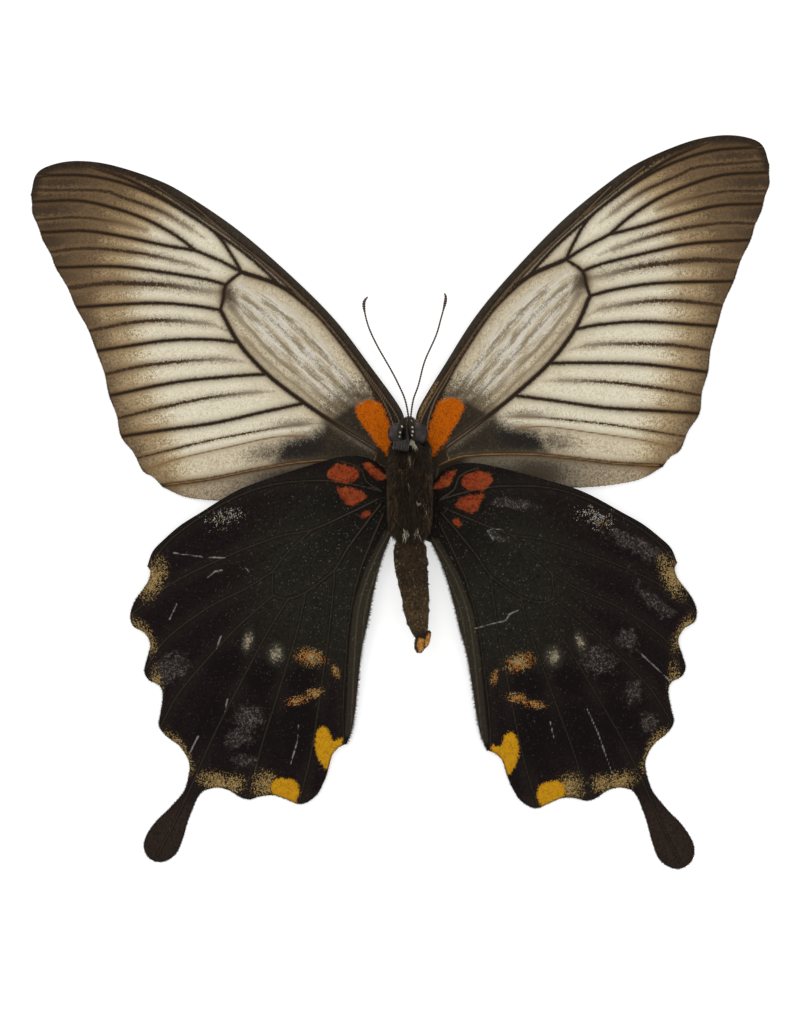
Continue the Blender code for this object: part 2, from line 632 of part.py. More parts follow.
def add_wing(parts, name, wing, side):
    """One wing: a gently falling sheet, thickened to both sides and more along its veins."""
    outline = wing_outline(wing, side)
    paths = vein_paths(wing, side)
    points, crests = wing_points(outline, paths)
    loop = list(range(len(outline)))
    flat, _, faces, _, _, _ = delaunay_2d_cdt(points, crests, [loop], 1, 1e-4)
    if wing == "fore":
        hinge = FORE_HINGE if side > 0 else LEFT_FORE_HINGE
        root_z, flat_from, sag = FORE_ROOT_Z, FORE_FLAT_FROM, FORE_SAG_POWER
    else:
        hinge = HIND_HINGE if side > 0 else LEFT_HIND_HINGE
        root_z, flat_from, sag = HIND_ROOT_Z, HIND_FLAT_FROM, HIND_SAG_POWER
    below = 0.5 * (1.0 - RISE)
    tip_z = below * MEMBRANE
    shape = bmesh.new()
    for point in flat:
        fall = ease((point - Vector(hinge)).length / flat_from) ** sag
        shape.verts.new((point.x, point.y, root_z + (tip_z - root_z) * fall))
    shape.verts.ensure_lookup_table()
    for face in faces:
        shape.faces.new([shape.verts[index] for index in face])
    sheet = add_body(parts, name, shape, closed=False)
    weights = sheet.vertex_groups.new(name="veins")
    for index, point in enumerate(flat):
        rise = 0.0
        for path, wide in paths:
            rise = max(rise, 1.0 - distance_to_path(point, path) / wide)
        reach = (point - Vector(hinge)).length
        rise *= ease((flat_from - reach) / VEIN_FADE)
        weights.add([index], rise, "REPLACE")
    thicken = sheet.modifiers.new("thickness", "SOLIDIFY")
    thicken.thickness = VEIN_CREST * MM
    thicken.offset = RISE
    thicken.vertex_group = "veins"
    thicken.thickness_vertex_group = MEMBRANE / VEIN_CREST


def build_butterfly():
    """Make every sub-part in one collection."""
    clear_scene()
    parts = bpy.data.collections.new("great_yellow_mormon")
    bpy.context.scene.collection.children.link(parts)
    add_thorax(parts)
    add_head(parts)
    add_abdomen(parts)
    add_valves(parts)
    add_antennae(parts)
    add_palps(parts)
    add_proboscis(parts)
    add_legs(parts)
    for side_name, side in (("left", -1), ("right", 1)):
        add_wing(parts, f"forewing_{side_name}", "fore", side)
        add_wing(parts, f"hindwing_{side_name}", "hind", side)


build_butterfly()
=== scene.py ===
# %% [markdown]
# # A great yellow mormon butterfly, dressed
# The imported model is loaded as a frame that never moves. Every piece made here lies in
# that frame, in metres, with its place in its mesh. The specimen lies on its back: its
# underside looks up, its head points to +Y, and its wings rest on the floor at their tips.

# %% Load the frame
import math

import bmesh
import bpy
import numpy as np
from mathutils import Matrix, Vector, noise


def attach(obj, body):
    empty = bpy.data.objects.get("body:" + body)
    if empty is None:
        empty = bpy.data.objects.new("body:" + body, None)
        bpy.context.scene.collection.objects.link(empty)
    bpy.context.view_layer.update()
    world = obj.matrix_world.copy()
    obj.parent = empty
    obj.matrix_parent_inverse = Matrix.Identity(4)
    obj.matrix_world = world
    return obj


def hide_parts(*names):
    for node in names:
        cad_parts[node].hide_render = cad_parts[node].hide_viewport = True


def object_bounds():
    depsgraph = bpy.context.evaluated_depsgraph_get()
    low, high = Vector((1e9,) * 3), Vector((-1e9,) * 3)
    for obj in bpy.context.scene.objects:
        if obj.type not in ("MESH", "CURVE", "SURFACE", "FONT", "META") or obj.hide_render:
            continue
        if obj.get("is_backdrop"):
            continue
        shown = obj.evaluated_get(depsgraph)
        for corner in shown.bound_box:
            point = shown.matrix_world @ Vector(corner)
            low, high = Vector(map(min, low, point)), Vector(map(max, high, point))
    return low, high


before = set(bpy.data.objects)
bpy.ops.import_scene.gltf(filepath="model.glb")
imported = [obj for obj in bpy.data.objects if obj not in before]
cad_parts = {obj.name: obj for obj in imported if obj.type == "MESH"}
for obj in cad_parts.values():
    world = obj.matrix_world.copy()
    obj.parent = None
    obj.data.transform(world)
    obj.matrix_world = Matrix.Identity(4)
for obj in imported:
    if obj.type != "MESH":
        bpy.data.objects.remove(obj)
CAD_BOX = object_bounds()
MM = 0.001
print("nodes in the frame:", len(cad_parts))

# %% [markdown]
# The specimen was taken straight from above on a white ground. A long lens from half a
# metre away does the same here. The floor is a little paler than paper, and the light is
# mostly a white sky with one broad lamp, so that shadows stay faint and soft.

# %% Camera, floor and light
CAMERA_AT = (-1.79, -1.95, 463.0)
LENS = 100
SENSOR = 36
NEAREST = 0.01
FLOOR_SIZE = 1.6
LAMP_AT = (-0.35, 0.45, 0.75)
LAMP_SIZE = 0.5
KEY_LIGHT = 1.5
SKY_LIGHT = 0.93


def unpick():
    """Leave nothing selected, so that the next operator acts on its own piece alone."""
    bpy.ops.object.select_all(action="DESELECT")


def alone(piece):
    """Make one piece the selected and active one."""
    unpick()
    piece.select_set(True)
    bpy.context.view_layer.objects.active = piece
    return piece


unpick()
bpy.ops.object.camera_add(location=[c * MM for c in CAMERA_AT], rotation=(0, 0, 0))
camera = bpy.context.object
camera.data.lens = LENS
camera.data.sensor_width = SENSOR
camera.data.clip_start = NEAREST
bpy.context.scene.camera = camera
bpy.context.scene.view_settings.view_transform = "Standard"

unpick()
bpy.ops.mesh.primitive_plane_add(size=FLOOR_SIZE, location=(0, 0, 0))
floor = bpy.context.object
floor.name = "floor"
floor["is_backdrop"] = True

world = bpy.data.worlds.new("white_sky")
bpy.context.scene.world = world
world.use_nodes = True
world.node_tree.nodes["Background"].inputs["Color"].default_value = (1, 1, 1, 1)
world.node_tree.nodes["Background"].inputs["Strength"].default_value = SKY_LIGHT

bpy.ops.object.light_add(type="AREA", location=LAMP_AT)
lamp = bpy.context.object
lamp.data.shape = "DISK"
lamp.data.size = LAMP_SIZE
lamp.data.energy = KEY_LIGHT
lamp.rotation_euler = Vector(lamp.location).to_track_quat("Z", "Y").to_euler()
print("camera over", CAMERA_AT[:2], "mm")

# %% [markdown]
# Paint is worked out by nodes. Two small classes keep that readable: `Field` is a number
# that changes over a surface, with ordinary arithmetic, and `Paint` is a material that
# adds nodes. Colours are given as they look in a picture, from 0 to 255, and turned into
# the share of light that the surface sends back.

# %% Numbers that change over a surface
WHITE_LEVEL = 1.08


def tone(red, green_sheen, blue):
    """A colour as seen in a picture, as the reflectance that gives it under this light."""
    linear = [((c / 255 + 0.055) / 1.055) ** 2.4 if c > 10 else c / 3294 for c in (red, green_sheen, blue)]
    return (*[c / WHITE_LEVEL for c in linear], 1.0)


class Field:
    """A socket whose value changes over the surface."""

    def __init__(self, paint, socket):
        self.paint = paint
        self.socket = socket

    def __add__(self, other):
        return self.paint.math("ADD", self, other)

    def __radd__(self, other):
        return self.paint.math("ADD", other, self)

    def __sub__(self, other):
        return self.paint.math("SUBTRACT", self, other)

    def __rsub__(self, other):
        return self.paint.math("SUBTRACT", other, self)

    def __mul__(self, other):
        return self.paint.math("MULTIPLY", self, other)

    def __rmul__(self, other):
        return self.paint.math("MULTIPLY", other, self)

    def max(self, other):
        return self.paint.math("MAXIMUM", self, other)

    def min(self, other):
        return self.paint.math("MINIMUM", self, other)

    def rise(self, low, high):
        """0 under low, 1 over high, with a soft passage."""
        return self.paint.node(
            "ShaderNodeMapRange", {"interpolation_type": "SMOOTHSTEP"},
            {"Value": self, "From Min": low, "From Max": high},
        )


print("numbers over a surface can be added, multiplied and eased")

# %% [markdown]
# A paint keeps its shader and the last ground that was laid down. `over` lays a colour
# over that ground, and `scales` mixes two tones scale by scale. So a wing is painted as
# it would be by hand: the light ground first, then layer on layer of darker dust.

# %% A material made of nodes
class Paint:
    """A material, its Principled shader, and the nodes that feed it."""

    def __init__(self, name, **constants):
        self.material = bpy.data.materials.new(name)
        self.material.use_nodes = True
        self.tree = self.material.node_tree
        self.shader = self.tree.nodes["Principled BSDF"]
        self.ground = None
        self.fleck = None
        self.place = Field(self, self.tree.nodes.new("ShaderNodeTexCoord").outputs["Object"])
        for key, value in constants.items():
            self.shader.inputs[key.replace("_", " ")].default_value = value

    def node(self, kind, settings, values, out=0):
        """Add a node: its settings first, then a value or a link for each socket."""
        new = self.tree.nodes.new(kind)
        for key, value in settings.items():
            setattr(new, key, value)
        for key, value in values.items():
            if isinstance(value, Field):
                self.tree.links.new(value.socket, new.inputs[key])
            else:
                new.inputs[key].default_value = value
        return Field(self, new.outputs[out])

    def math(self, operation, first, second):
        return self.node("ShaderNodeMath", {"operation": operation}, {0: first, 1: second})

    def read(self, name):
        """A number kept on the mesh."""
        return self.node("ShaderNodeAttribute", {"attribute_name": name}, {}, "Fac")

    def mix(self, share, first, second):
        settings = {"data_type": "RGBA", "blend_type": "MIX", "clamp_factor": True}
        return self.node("ShaderNodeMix", settings, {0: share, 6: first, 7: second}, 2)

    def over(self, share, colour):
        """Lay a colour over the ground, as strongly as its share says."""
        self.ground = self.mix(share, self.ground, colour)

    def scales(self, low, high, first, second):
        """Two tones, mixed scale by scale as the fleck rises."""
        return self.mix(self.fleck.rise(low, high), first, second)

    def noise(self, size, detail=2.0, stretch=(1, 1, 1), roughness=0.5):
        """Cloudy noise whose blobs are about a size across, in millimetres."""
        settings = {"vector_type": "POINT"}
        values = {"Vector": self.place, "Scale": stretch}
        vector = self.node("ShaderNodeMapping", settings, values)
        values = {"Vector": vector, "Scale": 1 / (size * MM), "Detail": detail, "Roughness": roughness}
        return self.node("ShaderNodeTexNoise", {"noise_dimensions": "3D"}, values, "Fac")

    def streaks(self, across, along, detail=3.0):
        """Noise drawn out along a direction kept on the mesh, both in cells."""
        vector = self.node("ShaderNodeCombineXYZ", {}, {"X": across, "Y": along})
        values = {"Vector": vector, "Scale": 1.0, "Detail": detail, "Roughness": 0.6}
        return self.node("ShaderNodeTexNoise", {"noise_dimensions": "2D"}, values, "Fac")

    def cells(self, size, out="Distance"):
        """Distance or random colour of cells about a size across, in millimetres."""
        values = {"Vector": self.place, "Scale": 1 / (size * MM)}
        return self.node("ShaderNodeTexVoronoi", {"feature": "F1"}, values, out)

    def bump(self, height, depth, before=None):
        """Tilt the surface as if the height, 0 to 1, stood up by a depth in millimetres."""
        values = {"Height": height, "Distance": depth * MM, "Strength": 1.0}
        if before is not None:
            values["Normal"] = before
        return self.node("ShaderNodeBump", {}, values, "Normal")

    def finish(self, **links):
        """Feed the shader's sockets and hand back the material."""
        for key, value in links.items():
            socket = self.shader.inputs[key.replace("_", " ")]
            self.tree.links.new(value.socket, socket)
        return self.material


print("a paint keeps its shader, its ground and its scales")

# %% [markdown]
# The floor glows a little and has a faint grain, so that it reads as the white ground of
# the picture and still takes the soft shadow under the wings.

# %% Paint of the floor
paper = Paint("pale_floor", Roughness=0.9, Specular_IOR_Level=0.0, Emission_Strength=0.55)
paper_grain = paper.noise(6.0, 3.0)
paper.shader.inputs["Emission Color"].default_value = (1, 1, 1, 1)
floor.data.materials.append(paper.finish(
    Base_Color=paper.mix(paper_grain, (0.555, 0.555, 0.555, 1), (0.565, 0.565, 0.562, 1)),
))
print("floor painted")

# %% [markdown]
# A wing is a sheet thinner than paper, held out by branching veins. Its drawing is kept
# as points in millimetres, the same as the frame's: the free edge in runs, then the veins.
# The left wings are the right ones mirrored, turned a little about their hinge and moved,
# as the specimen was set. A sheet with fine cells is chosen over a flat face with a
# picture, because the pattern is worked out from the distance to each vein.

# %% The forewing's drawing
# Forewing, right side: the free edge in three runs, then the veins
FORE_COSTA = (
    (2.8, 9.3), (1.7, 10.1), (0.85, 11.4), (0.7, 12.7), (1.5, 15.4), (5.6, 22.2),
    (10.6, 30.0), (16.9, 37.5), (25.0, 45.8), (33.0, 52.3), (38.0, 55.4), (45.1, 58.3),
    (50.5, 59.35), (54.7, 59.0), (57.2, 57.7), (58.3, 54.6),
)
FORE_MARGIN = (
    (58.3, 54.6), (58.3, 51.4), (57.0, 47.0), (55.2, 42.2), (52.5, 35.6), (49.8, 28.3),
    (48.3, 20.9), (46.9, 14.1), (43.8, 8.2), (40.9, 5.4),
)
FORE_SCALLOP = 0.3
FORE_INNER = ((40.9, 5.4), (36.5, 3.2), (28.4, 2.1), (20.0, 2.3), (11.5, 3.1), (5.2, 4.2))
FORE_ROOT_REACH = (0.9, -3.5)

FORE_MAIN_VEINS = {
    "subcosta": ((3.3, 8.9), (1.9, 10.8), (1.5, 12.4), (3.1, 15.9), (7.1, 22.4),
                 (12.8, 30.7), (19.3, 38.2), (26.6, 45.1), (31.5, 50.0)),
    "radius": ((3.9, 8.4), (2.9, 10.6), (2.7, 12.6), (3.9, 16.2), (5.7, 19.3), (7.8, 22.9),
               (11.7, 28.9), (14.5, 32.3), (19.2, 36.4), (25.2, 39.1)),
    "cubitus": ((4.1, 7.3), (6.7, 9.3), (9.6, 11.4), (13.0, 14.0), (16.7, 17.0),
                (22.4, 22.2), (26.6, 27.7), (29.1, 33.2)),
    "anal": ((4.4, 5.6), (6.5, 6.5), (9.3, 7.2), (17.7, 7.5), (25.5, 6.9), (33.0, 6.0),
             (40.3, 5.6)),
}
FORE_BRANCHES = {
    "radius_1": ((13.5, 31.5), (18.5, 37.0), (24.2, 42.9), (30.7, 48.4), (36.9, 53.4)),
    "radius_2": ((18.9, 36.2), (23.5, 41.2), (29.1, 46.1), (35.6, 51.3), (41.7, 55.3),
                 (46.9, 57.7)),
    "radius_3": ((25.2, 39.1), (26.5, 41.9), (29.1, 46.0), (34.3, 50.1), (38.8, 53.0),
                 (43.7, 55.3), (49.4, 56.9), (55.8, 57.4)),
    "stalk": ((25.2, 39.1), (28.3, 41.1), (32.3, 43.2)),
    "radius_4": ((32.3, 43.2), (35.6, 46.1), (40.1, 49.0), (45.3, 51.3), (50.8, 52.9),
                 (57.5, 53.3)),
    "radius_5": ((32.3, 43.2), (37.4, 44.5), (43.7, 46.4), (50.0, 47.9), (56.5, 48.2)),
    "disc": ((25.2, 39.1), (27.9, 37.2), (28.4, 35.2), (29.1, 33.2)),
    "media_1": ((27.9, 37.2), (30.7, 38.3), (37.4, 40.0), (45.5, 41.7), (54.7, 42.3)),
    "media_2": ((29.1, 33.2), (33.5, 34.3), (40.4, 35.3), (51.8, 35.6)),
    "media_3": ((26.6, 27.7), (30.7, 28.5), (38.0, 29.0), (49.1, 28.3)),
    "cubitus_1": ((22.4, 22.2), (27.4, 22.3), (37.4, 22.1), (47.6, 20.9)),
    "cubitus_2": ((16.7, 17.0), (23.5, 16.1), (31.5, 15.0), (40.0, 14.5), (46.2, 14.1)),
    "fold": ((16.9, 11.6), (21.9, 11.9), (29.6, 10.9), (37.8, 9.7), (43.1, 8.4)),
    "cross": ((5.4, 8.3), (6.3, 6.5)),
}
print("forewing:", len(FORE_MAIN_VEINS) + len(FORE_BRANCHES), "veins drawn")

# %% [markdown]
# The hindwing is drawn in the same way, with its lobes and its tail. Its veins are named
# for the lobe they end in, so that patches and folds can be placed between them.

# %% The hindwing's drawing
# Hindwing, right side: front edge, scalloped edge to the tail, tail, the rest, inner edge
HIND_COSTA = (
    (3.9, 3.3), (5.5, 5.0), (8.0, 5.9), (11.0, 5.9), (14.5, 5.2), (21.3, 3.4),
    (27.8, 1.4), (34.4, -2.1), (37.6, -3.9), (40.3, -6.0), (42.2, -7.8), (43.2, -10.1),
)
HIND_LOBES = (
    (43.2, -10.1), (42.75, -11.2), (43.4, -13.0), (45.5, -15.7), (46.4, -18.0),
    (46.0, -19.8), (44.3, -20.9), (43.4, -22.8), (44.0, -25.0), (44.6, -27.2),
    (43.9, -28.7), (42.3, -29.6), (41.8, -31.2), (42.3, -34.0), (42.7, -36.2),
    (41.5, -38.0), (39.4, -39.8), (38.1, -42.4), (38.3, -44.7),
)
HIND_TAIL = (
    (38.3, -44.7), (39.3, -47.4), (41.6, -50.3), (44.0, -52.8), (45.6, -55.2),
    (46.1, -57.2), (45.5, -58.9), (44.0, -59.9), (42.3, -59.8), (40.4, -58.4),
    (39.3, -55.7), (38.3, -52.0), (36.9, -48.4), (35.9, -47.1),
)
HIND_REAR = (
    (35.9, -47.1), (33.9, -46.7), (31.8, -47.3), (30.2, -48.4), (28.6, -48.9),
    (27.0, -48.5), (24.7, -48.4), (22.6, -49.2), (20.9, -50.0), (19.5, -49.9),
    (17.7, -48.7), (16.4, -46.6), (15.6, -44.6), (14.9, -42.4), (13.8, -41.2),
    (12.4, -40.6),
)
HIND_INNER = (
    (12.4, -40.6), (11.5, -38.5), (10.7, -34.9), (9.9, -29.6), (9.1, -25.0), (8.0, -21.1),
    (7.0, -16.9), (5.8, -12.7), (4.5, -9.3), (3.4, -7.0),
)
HIND_ROOT_REACH = (4.9, -4.3)

HIND_MAIN_VEINS = {
    "subcosta": ((4.6, 0.0), (8.9, 1.3), (14.0, 2.2), (21.3, 2.1), (27.4, 0.6),
                 (33.5, -2.3), (39.4, -6.2), (42.4, -9.6)),
    "cubitus": ((4.8, -2.0), (7.3, -4.9), (11.0, -9.5), (12.8, -12.2), (17.7, -15.7),
                (20.6, -16.6)),
    "media_3": ((20.6, -16.6), (24.2, -21.8), (28.6, -29.1), (33.9, -38.2), (37.3, -44.9),
                (40.4, -52.0), (43.0, -57.4)),
    "anal": ((4.5, -3.6), (7.0, -8.7), (9.1, -13.6), (11.0, -21.0), (12.1, -29.6),
             (12.7, -35.0), (12.9, -39.7)),
}
HIND_BRANCHES = {
    "humeral": ((4.9, 0.3), (7.0, 1.7), (7.6, 3.6), (8.8, 4.5), (11.0, 5.2)),
    "sector": ((5.2, -1.2), (9.6, -3.1), (16.1, -5.6), (21.9, -6.5), (30.6, -9.4),
               (39.4, -13.2), (45.6, -17.4)),
    "cell_edge": ((16.1, -5.6), (20.1, -8.9), (22.8, -12.0)),
    "disc": ((22.8, -12.0), (23.0, -15.9), (20.6, -16.6)),
    "media_1": ((22.8, -12.0), (27.4, -14.6), (33.9, -17.5), (40.8, -22.2), (44.1, -26.5)),
    "media_2": ((23.0, -15.9), (29.2, -20.9), (35.0, -26.5), (39.3, -31.2), (42.1, -35.7)),
    "cubitus_1": ((17.7, -15.7), (19.5, -22.1), (23.1, -32.0), (26.3, -40.6), (28.5, -48.2)),
    "cubitus_2": ((12.8, -12.2), (14.0, -20.6), (16.1, -31.7), (18.2, -41.7), (20.4, -49.2)),
}
print("hindwing:", len(HIND_MAIN_VEINS) + len(HIND_BRANCHES), "veins drawn")

# %% [markdown]
# A wing hangs on the thorax at its hinge and falls to the floor at its tip. Each wing has
# its height at the hinge, how far out it is flat, and how it sags. The functions here turn
# points of the right wing's drawing into points where the wing lies, on either side.

# %% Heights and hinges of the wings
BODY_X = -0.2
THORAX_CENTRE = (BODY_X, 1.2, 3.65)
THORAX_RADII = (3.5, 8.4, 3.8)
THORAX_POWER = 2.5
HEIGHTS = {"fore": (1.35, 64.0, 1.0), "hind": (2.62, 62.5, 1.6)}
TIP_Z = 0.2
HINGES = {
    ("fore", 1): (3.41, 7.8), ("fore", -1): (-3.3, 7.66),
    ("hind", 1): (4.06, -1.62), ("hind", -1): (-4.14, -0.19),
}
LEFT_TURNS = {"fore": math.radians(4.7), "hind": math.radians(2.93)}
TAIL_NECK = (37.1, -45.9)
LEFT_TAIL_TURN = math.radians(-4.6)
LEFT_TAIL_LENGTH = 0.92


def ease(share):
    """Go from 0 to 1 with level ends."""
    share = np.clip(share, 0.0, 1.0)
    return share * share * (3.0 - 2.0 * share)


def smooth_path(points, step):
    """Points about one step apart on a Catmull-Rom curve through the given ones."""
    knots = [np.array(point, float) for point in points]
    knots = [2 * knots[0] - knots[1]] + knots + [2 * knots[-1] - knots[-2]]
    path = []
    for before, start, end, after in zip(knots, knots[1:], knots[2:], knots[3:]):
        pieces = max(1, round(float(np.linalg.norm(end - start)) / step))
        for index in range(pieces):
            t = index / pieces
            bend = 2 * before - 5 * start + 4 * end - after
            turn = 3 * (start - end) + after - before
            path.append(start + 0.5 * t * (end - before + t * (bend + t * turn)))
    return np.array(path + [knots[-2]])


def turned(points, centre, angle, stretch=1.0):
    """Points turned about a centre, and drawn nearer to it or away from it."""
    reach = (np.asarray(points, float) - centre) * stretch
    spin = np.array(((math.cos(angle), math.sin(angle)), (-math.sin(angle), math.cos(angle))))
    return reach @ spin + centre


def placed(points, wing, side):
    """Points of the right wing's drawing where they lie on the given side."""
    points = np.asarray(points, float)
    if side > 0:
        return points
    if wing == "hind":
        past_neck = ease((TAIL_NECK[1] - points[:, 1:] + 1.5) / 3.0) * (points[:, :1] > 35.0)
        bent = turned(points, TAIL_NECK, -LEFT_TAIL_TURN, LEFT_TAIL_LENGTH)
        points = points + (bent - points) * past_neck
    mirrored = (points - HINGES[wing, 1]) * (-1, 1) + HINGES[wing, -1]
    return turned(mirrored, HINGES[wing, -1], LEFT_TURNS[wing])


print("wings hinged at", HINGES)

# %% [markdown]
# Each wing starts as a fine grid over the outline's box. What lies outside is deleted,
# and the stepped border is pulled onto the outline. The sheet then gets its fall from
# the hinge to the floor, a slight ridge at each vein, and a thickness by Solidify. Cutting
# a grid keeps the cells even, which a knife cut along the outline would not.

# %% Outlines of the wings
CELL = 0.25
ROOT_INTO_BODY = 1.2
UNDER_HINDWING = ((7.6, 2.9), (4.4, 1.9))
UNDER_REACH = -5.9
SHEET_THICKNESS = 0.13
SHEET_DROP = 0.11
VEIN_HALF_WIDTH = {
    "subcosta": 0.26, "radius": 0.28, "cubitus": 0.27, "anal": 0.24, "fold": 0.08,
    "cross": 0.2,
}
PLAIN_VEIN = 0.24
RIDGE_SPREAD = 2.9
RIDGE_HEIGHT = 0.14
RIDGE_END = 60
RIDGE_FADE = 40
INNER_VEINS = ("radius", "cubitus", "stalk", "disc", "cell_edge", "cross", "humeral")


def root_edge(y_from, y_to, z, side, pieces=14):
    """The wing's root, a little inside the thorax's flank."""
    edge = []
    for y in np.linspace(y_from, y_to, pieces + 1):
        along = abs((y - THORAX_CENTRE[1]) / THORAX_RADII[1]) ** THORAX_POWER
        up = abs((z - THORAX_CENTRE[2]) / THORAX_RADII[2]) ** THORAX_POWER
        x = THORAX_RADII[0] * max(0.0, 1.0 - along - up) ** (1.0 / THORAX_POWER)
        edge.append((BODY_X + side * (x - ROOT_INTO_BODY), y))
    return np.array(edge)


def scalloped(ends, depth):
    """A margin through the vein ends, drawn in between them, less so near the tip."""
    margin = [np.array(ends[0])]
    for index, (start, end) in enumerate(zip(np.array(ends), np.array(ends[1:]))):
        run = end - start
        drawn = depth * min(1.0, 0.2 + 0.2 * index)
        inward = np.array((run[1], -run[0])) / np.hypot(*run) * drawn
        margin += [(start + end) / 2 + inward, end]
    return margin


def wing_outline(wing, side):
    """The closed outline of a wing: its free edge, then its root."""
    if wing == "fore":
        runs = (FORE_COSTA, scalloped(FORE_MARGIN, FORE_SCALLOP), (*FORE_INNER[:-1], *UNDER_HINDWING))
        reach, root_z = (FORE_ROOT_REACH[0], UNDER_REACH), 1.8
    else:
        runs = (HIND_COSTA, HIND_LOBES, HIND_TAIL, HIND_REAR, HIND_INNER)
        reach, root_z = HIND_ROOT_REACH, THORAX_CENTRE[2]
    hinge_y = HINGES[wing, side][1]
    paths = [smooth_path(placed(run, wing, side), 0.3) for run in runs]
    root = root_edge(hinge_y + reach[1], hinge_y + reach[0], root_z, side)
    return np.vstack([paths[0]] + [path[1:] for path in paths[1:]] + [root])


print("sheets of", CELL, "mm cells,", SHEET_THICKNESS, "mm thick")

# %% [markdown]
# Every marking starts from a distance. So the sheet asks of each vertex which side of an
# outline it lies on, and how near it is to a path. Only the vertices close to a path are
# measured, which keeps thousands of them quick.

# %% Where a point lies
def inside(points, outline):
    """Which points lie inside a closed outline."""
    crossings = np.zeros(len(points), bool)
    x, y = points.T
    for (x0, y0), (x1, y1) in zip(outline, np.roll(outline, -1, axis=0)):
        if y0 != y1:
            spans = (y0 > y) != (y1 > y)
            crossings ^= spans & (x < x0 + (x1 - x0) * (y - y0) / (y1 - y0))
    return crossings


def nearest_on(points, path, reach=9.0):
    """How far each point lies from a path, up to a reach, and the nearest place on it."""
    near = np.full(len(points), reach)
    place = np.zeros_like(points)
    box = (points > path.min(0) - reach).all(1) & (points < path.max(0) + reach).all(1)
    some = np.flatnonzero(box)
    close, spots, nearby = near[some], place[some], points[some]
    for start, end in zip(path, path[1:]):
        run = end - start
        share = np.clip((nearby - start) @ run / max(run @ run, 1e-12), 0, 1)
        spot = start + share[:, None] * run
        far = np.hypot(*(spot - nearby).T)
        closer = far < close
        close[closer] = far[closer]
        spots[closer] = spot[closer]
    near[some] = close
    place[some] = spots
    return near, place


def height_at(points, wing, side):
    """The sheet's height over the floor."""
    root_z, flat_from, sag = HEIGHTS[wing]
    reach = np.hypot(*(points - HINGES[wing, side]).T)
    return root_z + (TIP_Z - root_z) * ease(reach / flat_from) ** sag - SHEET_DROP


print("points can be placed by outline and path")

# %% [markdown]
# The stepped border of the grid is pulled onto the outline, and the row behind it is
# evened out, so that the edge is smooth and its cells keep a good shape.

# %% Cut one sheet from a grid
def cut_wing(name, wing, side, veins):
    """The sheet of one wing, with its place in its mesh."""
    outline = wing_outline(wing, side)
    low, high = outline.min(0) - CELL, outline.max(0) + CELL
    columns, rows = [int(n) for n in (high - low) / CELL]
    unpick()
    bpy.ops.mesh.primitive_grid_add(x_subdivisions=columns, y_subdivisions=rows, size=1)
    sheet = bpy.context.object
    sheet.name = name
    mesh = sheet.data
    flat = np.empty(len(mesh.vertices) * 3)
    mesh.vertices.foreach_get("co", flat)
    spots = low + (flat.reshape(-1, 3)[:, :2] + 0.5) * (high - low)
    near, on_edge = nearest_on(spots, np.vstack([outline, outline[:1]]), 99.0)
    keep = inside(spots, outline) | (near < 0.3 * CELL)
    shape = bmesh.new()
    shape.from_mesh(mesh)
    mark = shape.verts.layers.int.new("old")
    for index, vertex in enumerate(shape.verts):
        vertex[mark] = index
    spare = [v for v, kept in zip(shape.verts, keep) if not kept]
    bmesh.ops.delete(shape, geom=spare, context="VERTS")
    bmesh.ops.delete(shape, geom=[v for v in shape.verts if not v.link_faces], context="VERTS")
    rim = [v for v in shape.verts if v.is_boundary]
    left = np.array([v[mark] for v in shape.verts])
    ends = np.array([v.is_boundary for v in shape.verts])
    points = spots[left]
    points[ends] = on_edge[left][ends]
    wide = np.full(len(points), 9.0)
    for path, half in veins:
        wide = np.minimum(wide, nearest_on(points, path, 1.0)[0] / half)
    ridge = np.clip(1.0 - wide / RIDGE_SPREAD, 0, 1) ** 2 * RIDGE_HEIGHT
    ridge *= ease((RIDGE_END - np.hypot(*points.T)) / RIDGE_FADE)
    z = height_at(points, wing, side) + ridge
    for vertex, (x, y), up in zip(shape.verts, points, z):
        vertex.co = (x * MM, y * MM, up * MM)
    near_rim = {v for r in rim for e in r.link_edges for v in e.verts if not v.is_boundary}
    for _ in range(3):
        for vertex in near_rim:
            around = [edge.other_vert(vertex).co for edge in vertex.link_edges]
            vertex.co = sum(around, Vector()) / len(around)
    shape.verts.layers.int.remove(mark)
    shape.to_mesh(mesh)
    shape.free()
    alone(sheet)
    thicken = sheet.modifiers.new("thickness", "SOLIDIFY")
    thicken.thickness = SHEET_THICKNESS * MM
    thicken.offset = 0
    bpy.ops.object.modifier_apply(modifier="thickness")
    bpy.ops.object.shade_smooth()
    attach(sheet, "root")
    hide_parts(name.replace("_sheet", ""))
    print(name, len(mesh.polygons), "faces")
    return sheet

# %% [markdown]
# Veins that end at the margin are carried on past it, so that none stops short. All four
# sheets are cut with one function from the same drawing.

# %% Cut the four sheets
def to_margin(path, further=1.5):
    """A path carried on past its end, so that it meets the wing's margin."""
    run = path[-1] - path[-2]
    return np.vstack([path, path[-1] + run / np.hypot(*run) * further])


def vein_paths(wing, side):
    """Every vein of a wing as a path with its half width in millimetres."""
    main = FORE_MAIN_VEINS if wing == "fore" else HIND_MAIN_VEINS
    branches = FORE_BRANCHES if wing == "fore" else HIND_BRANCHES
    paths = []
    for key, way in {**main, **branches}.items():
        path = smooth_path(placed(way, wing, side), 1.3)
        if key not in INNER_VEINS:
            path = to_margin(path)
        paths.append((path, VEIN_HALF_WIDTH.get(key, PLAIN_VEIN)))
    return paths


SHEETS = {}
VEINS = {}
for wing in ("fore", "hind"):
    for side, side_name in ((1, "right"), (-1, "left")):
        VEINS[wing, side] = vein_paths(wing, side)
        name = f"{wing}wing_{side_name}_sheet"
        SHEETS[wing, side] = cut_wing(name, wing, side, VEINS[wing, side])


print(len(SHEETS), "sheets cut")

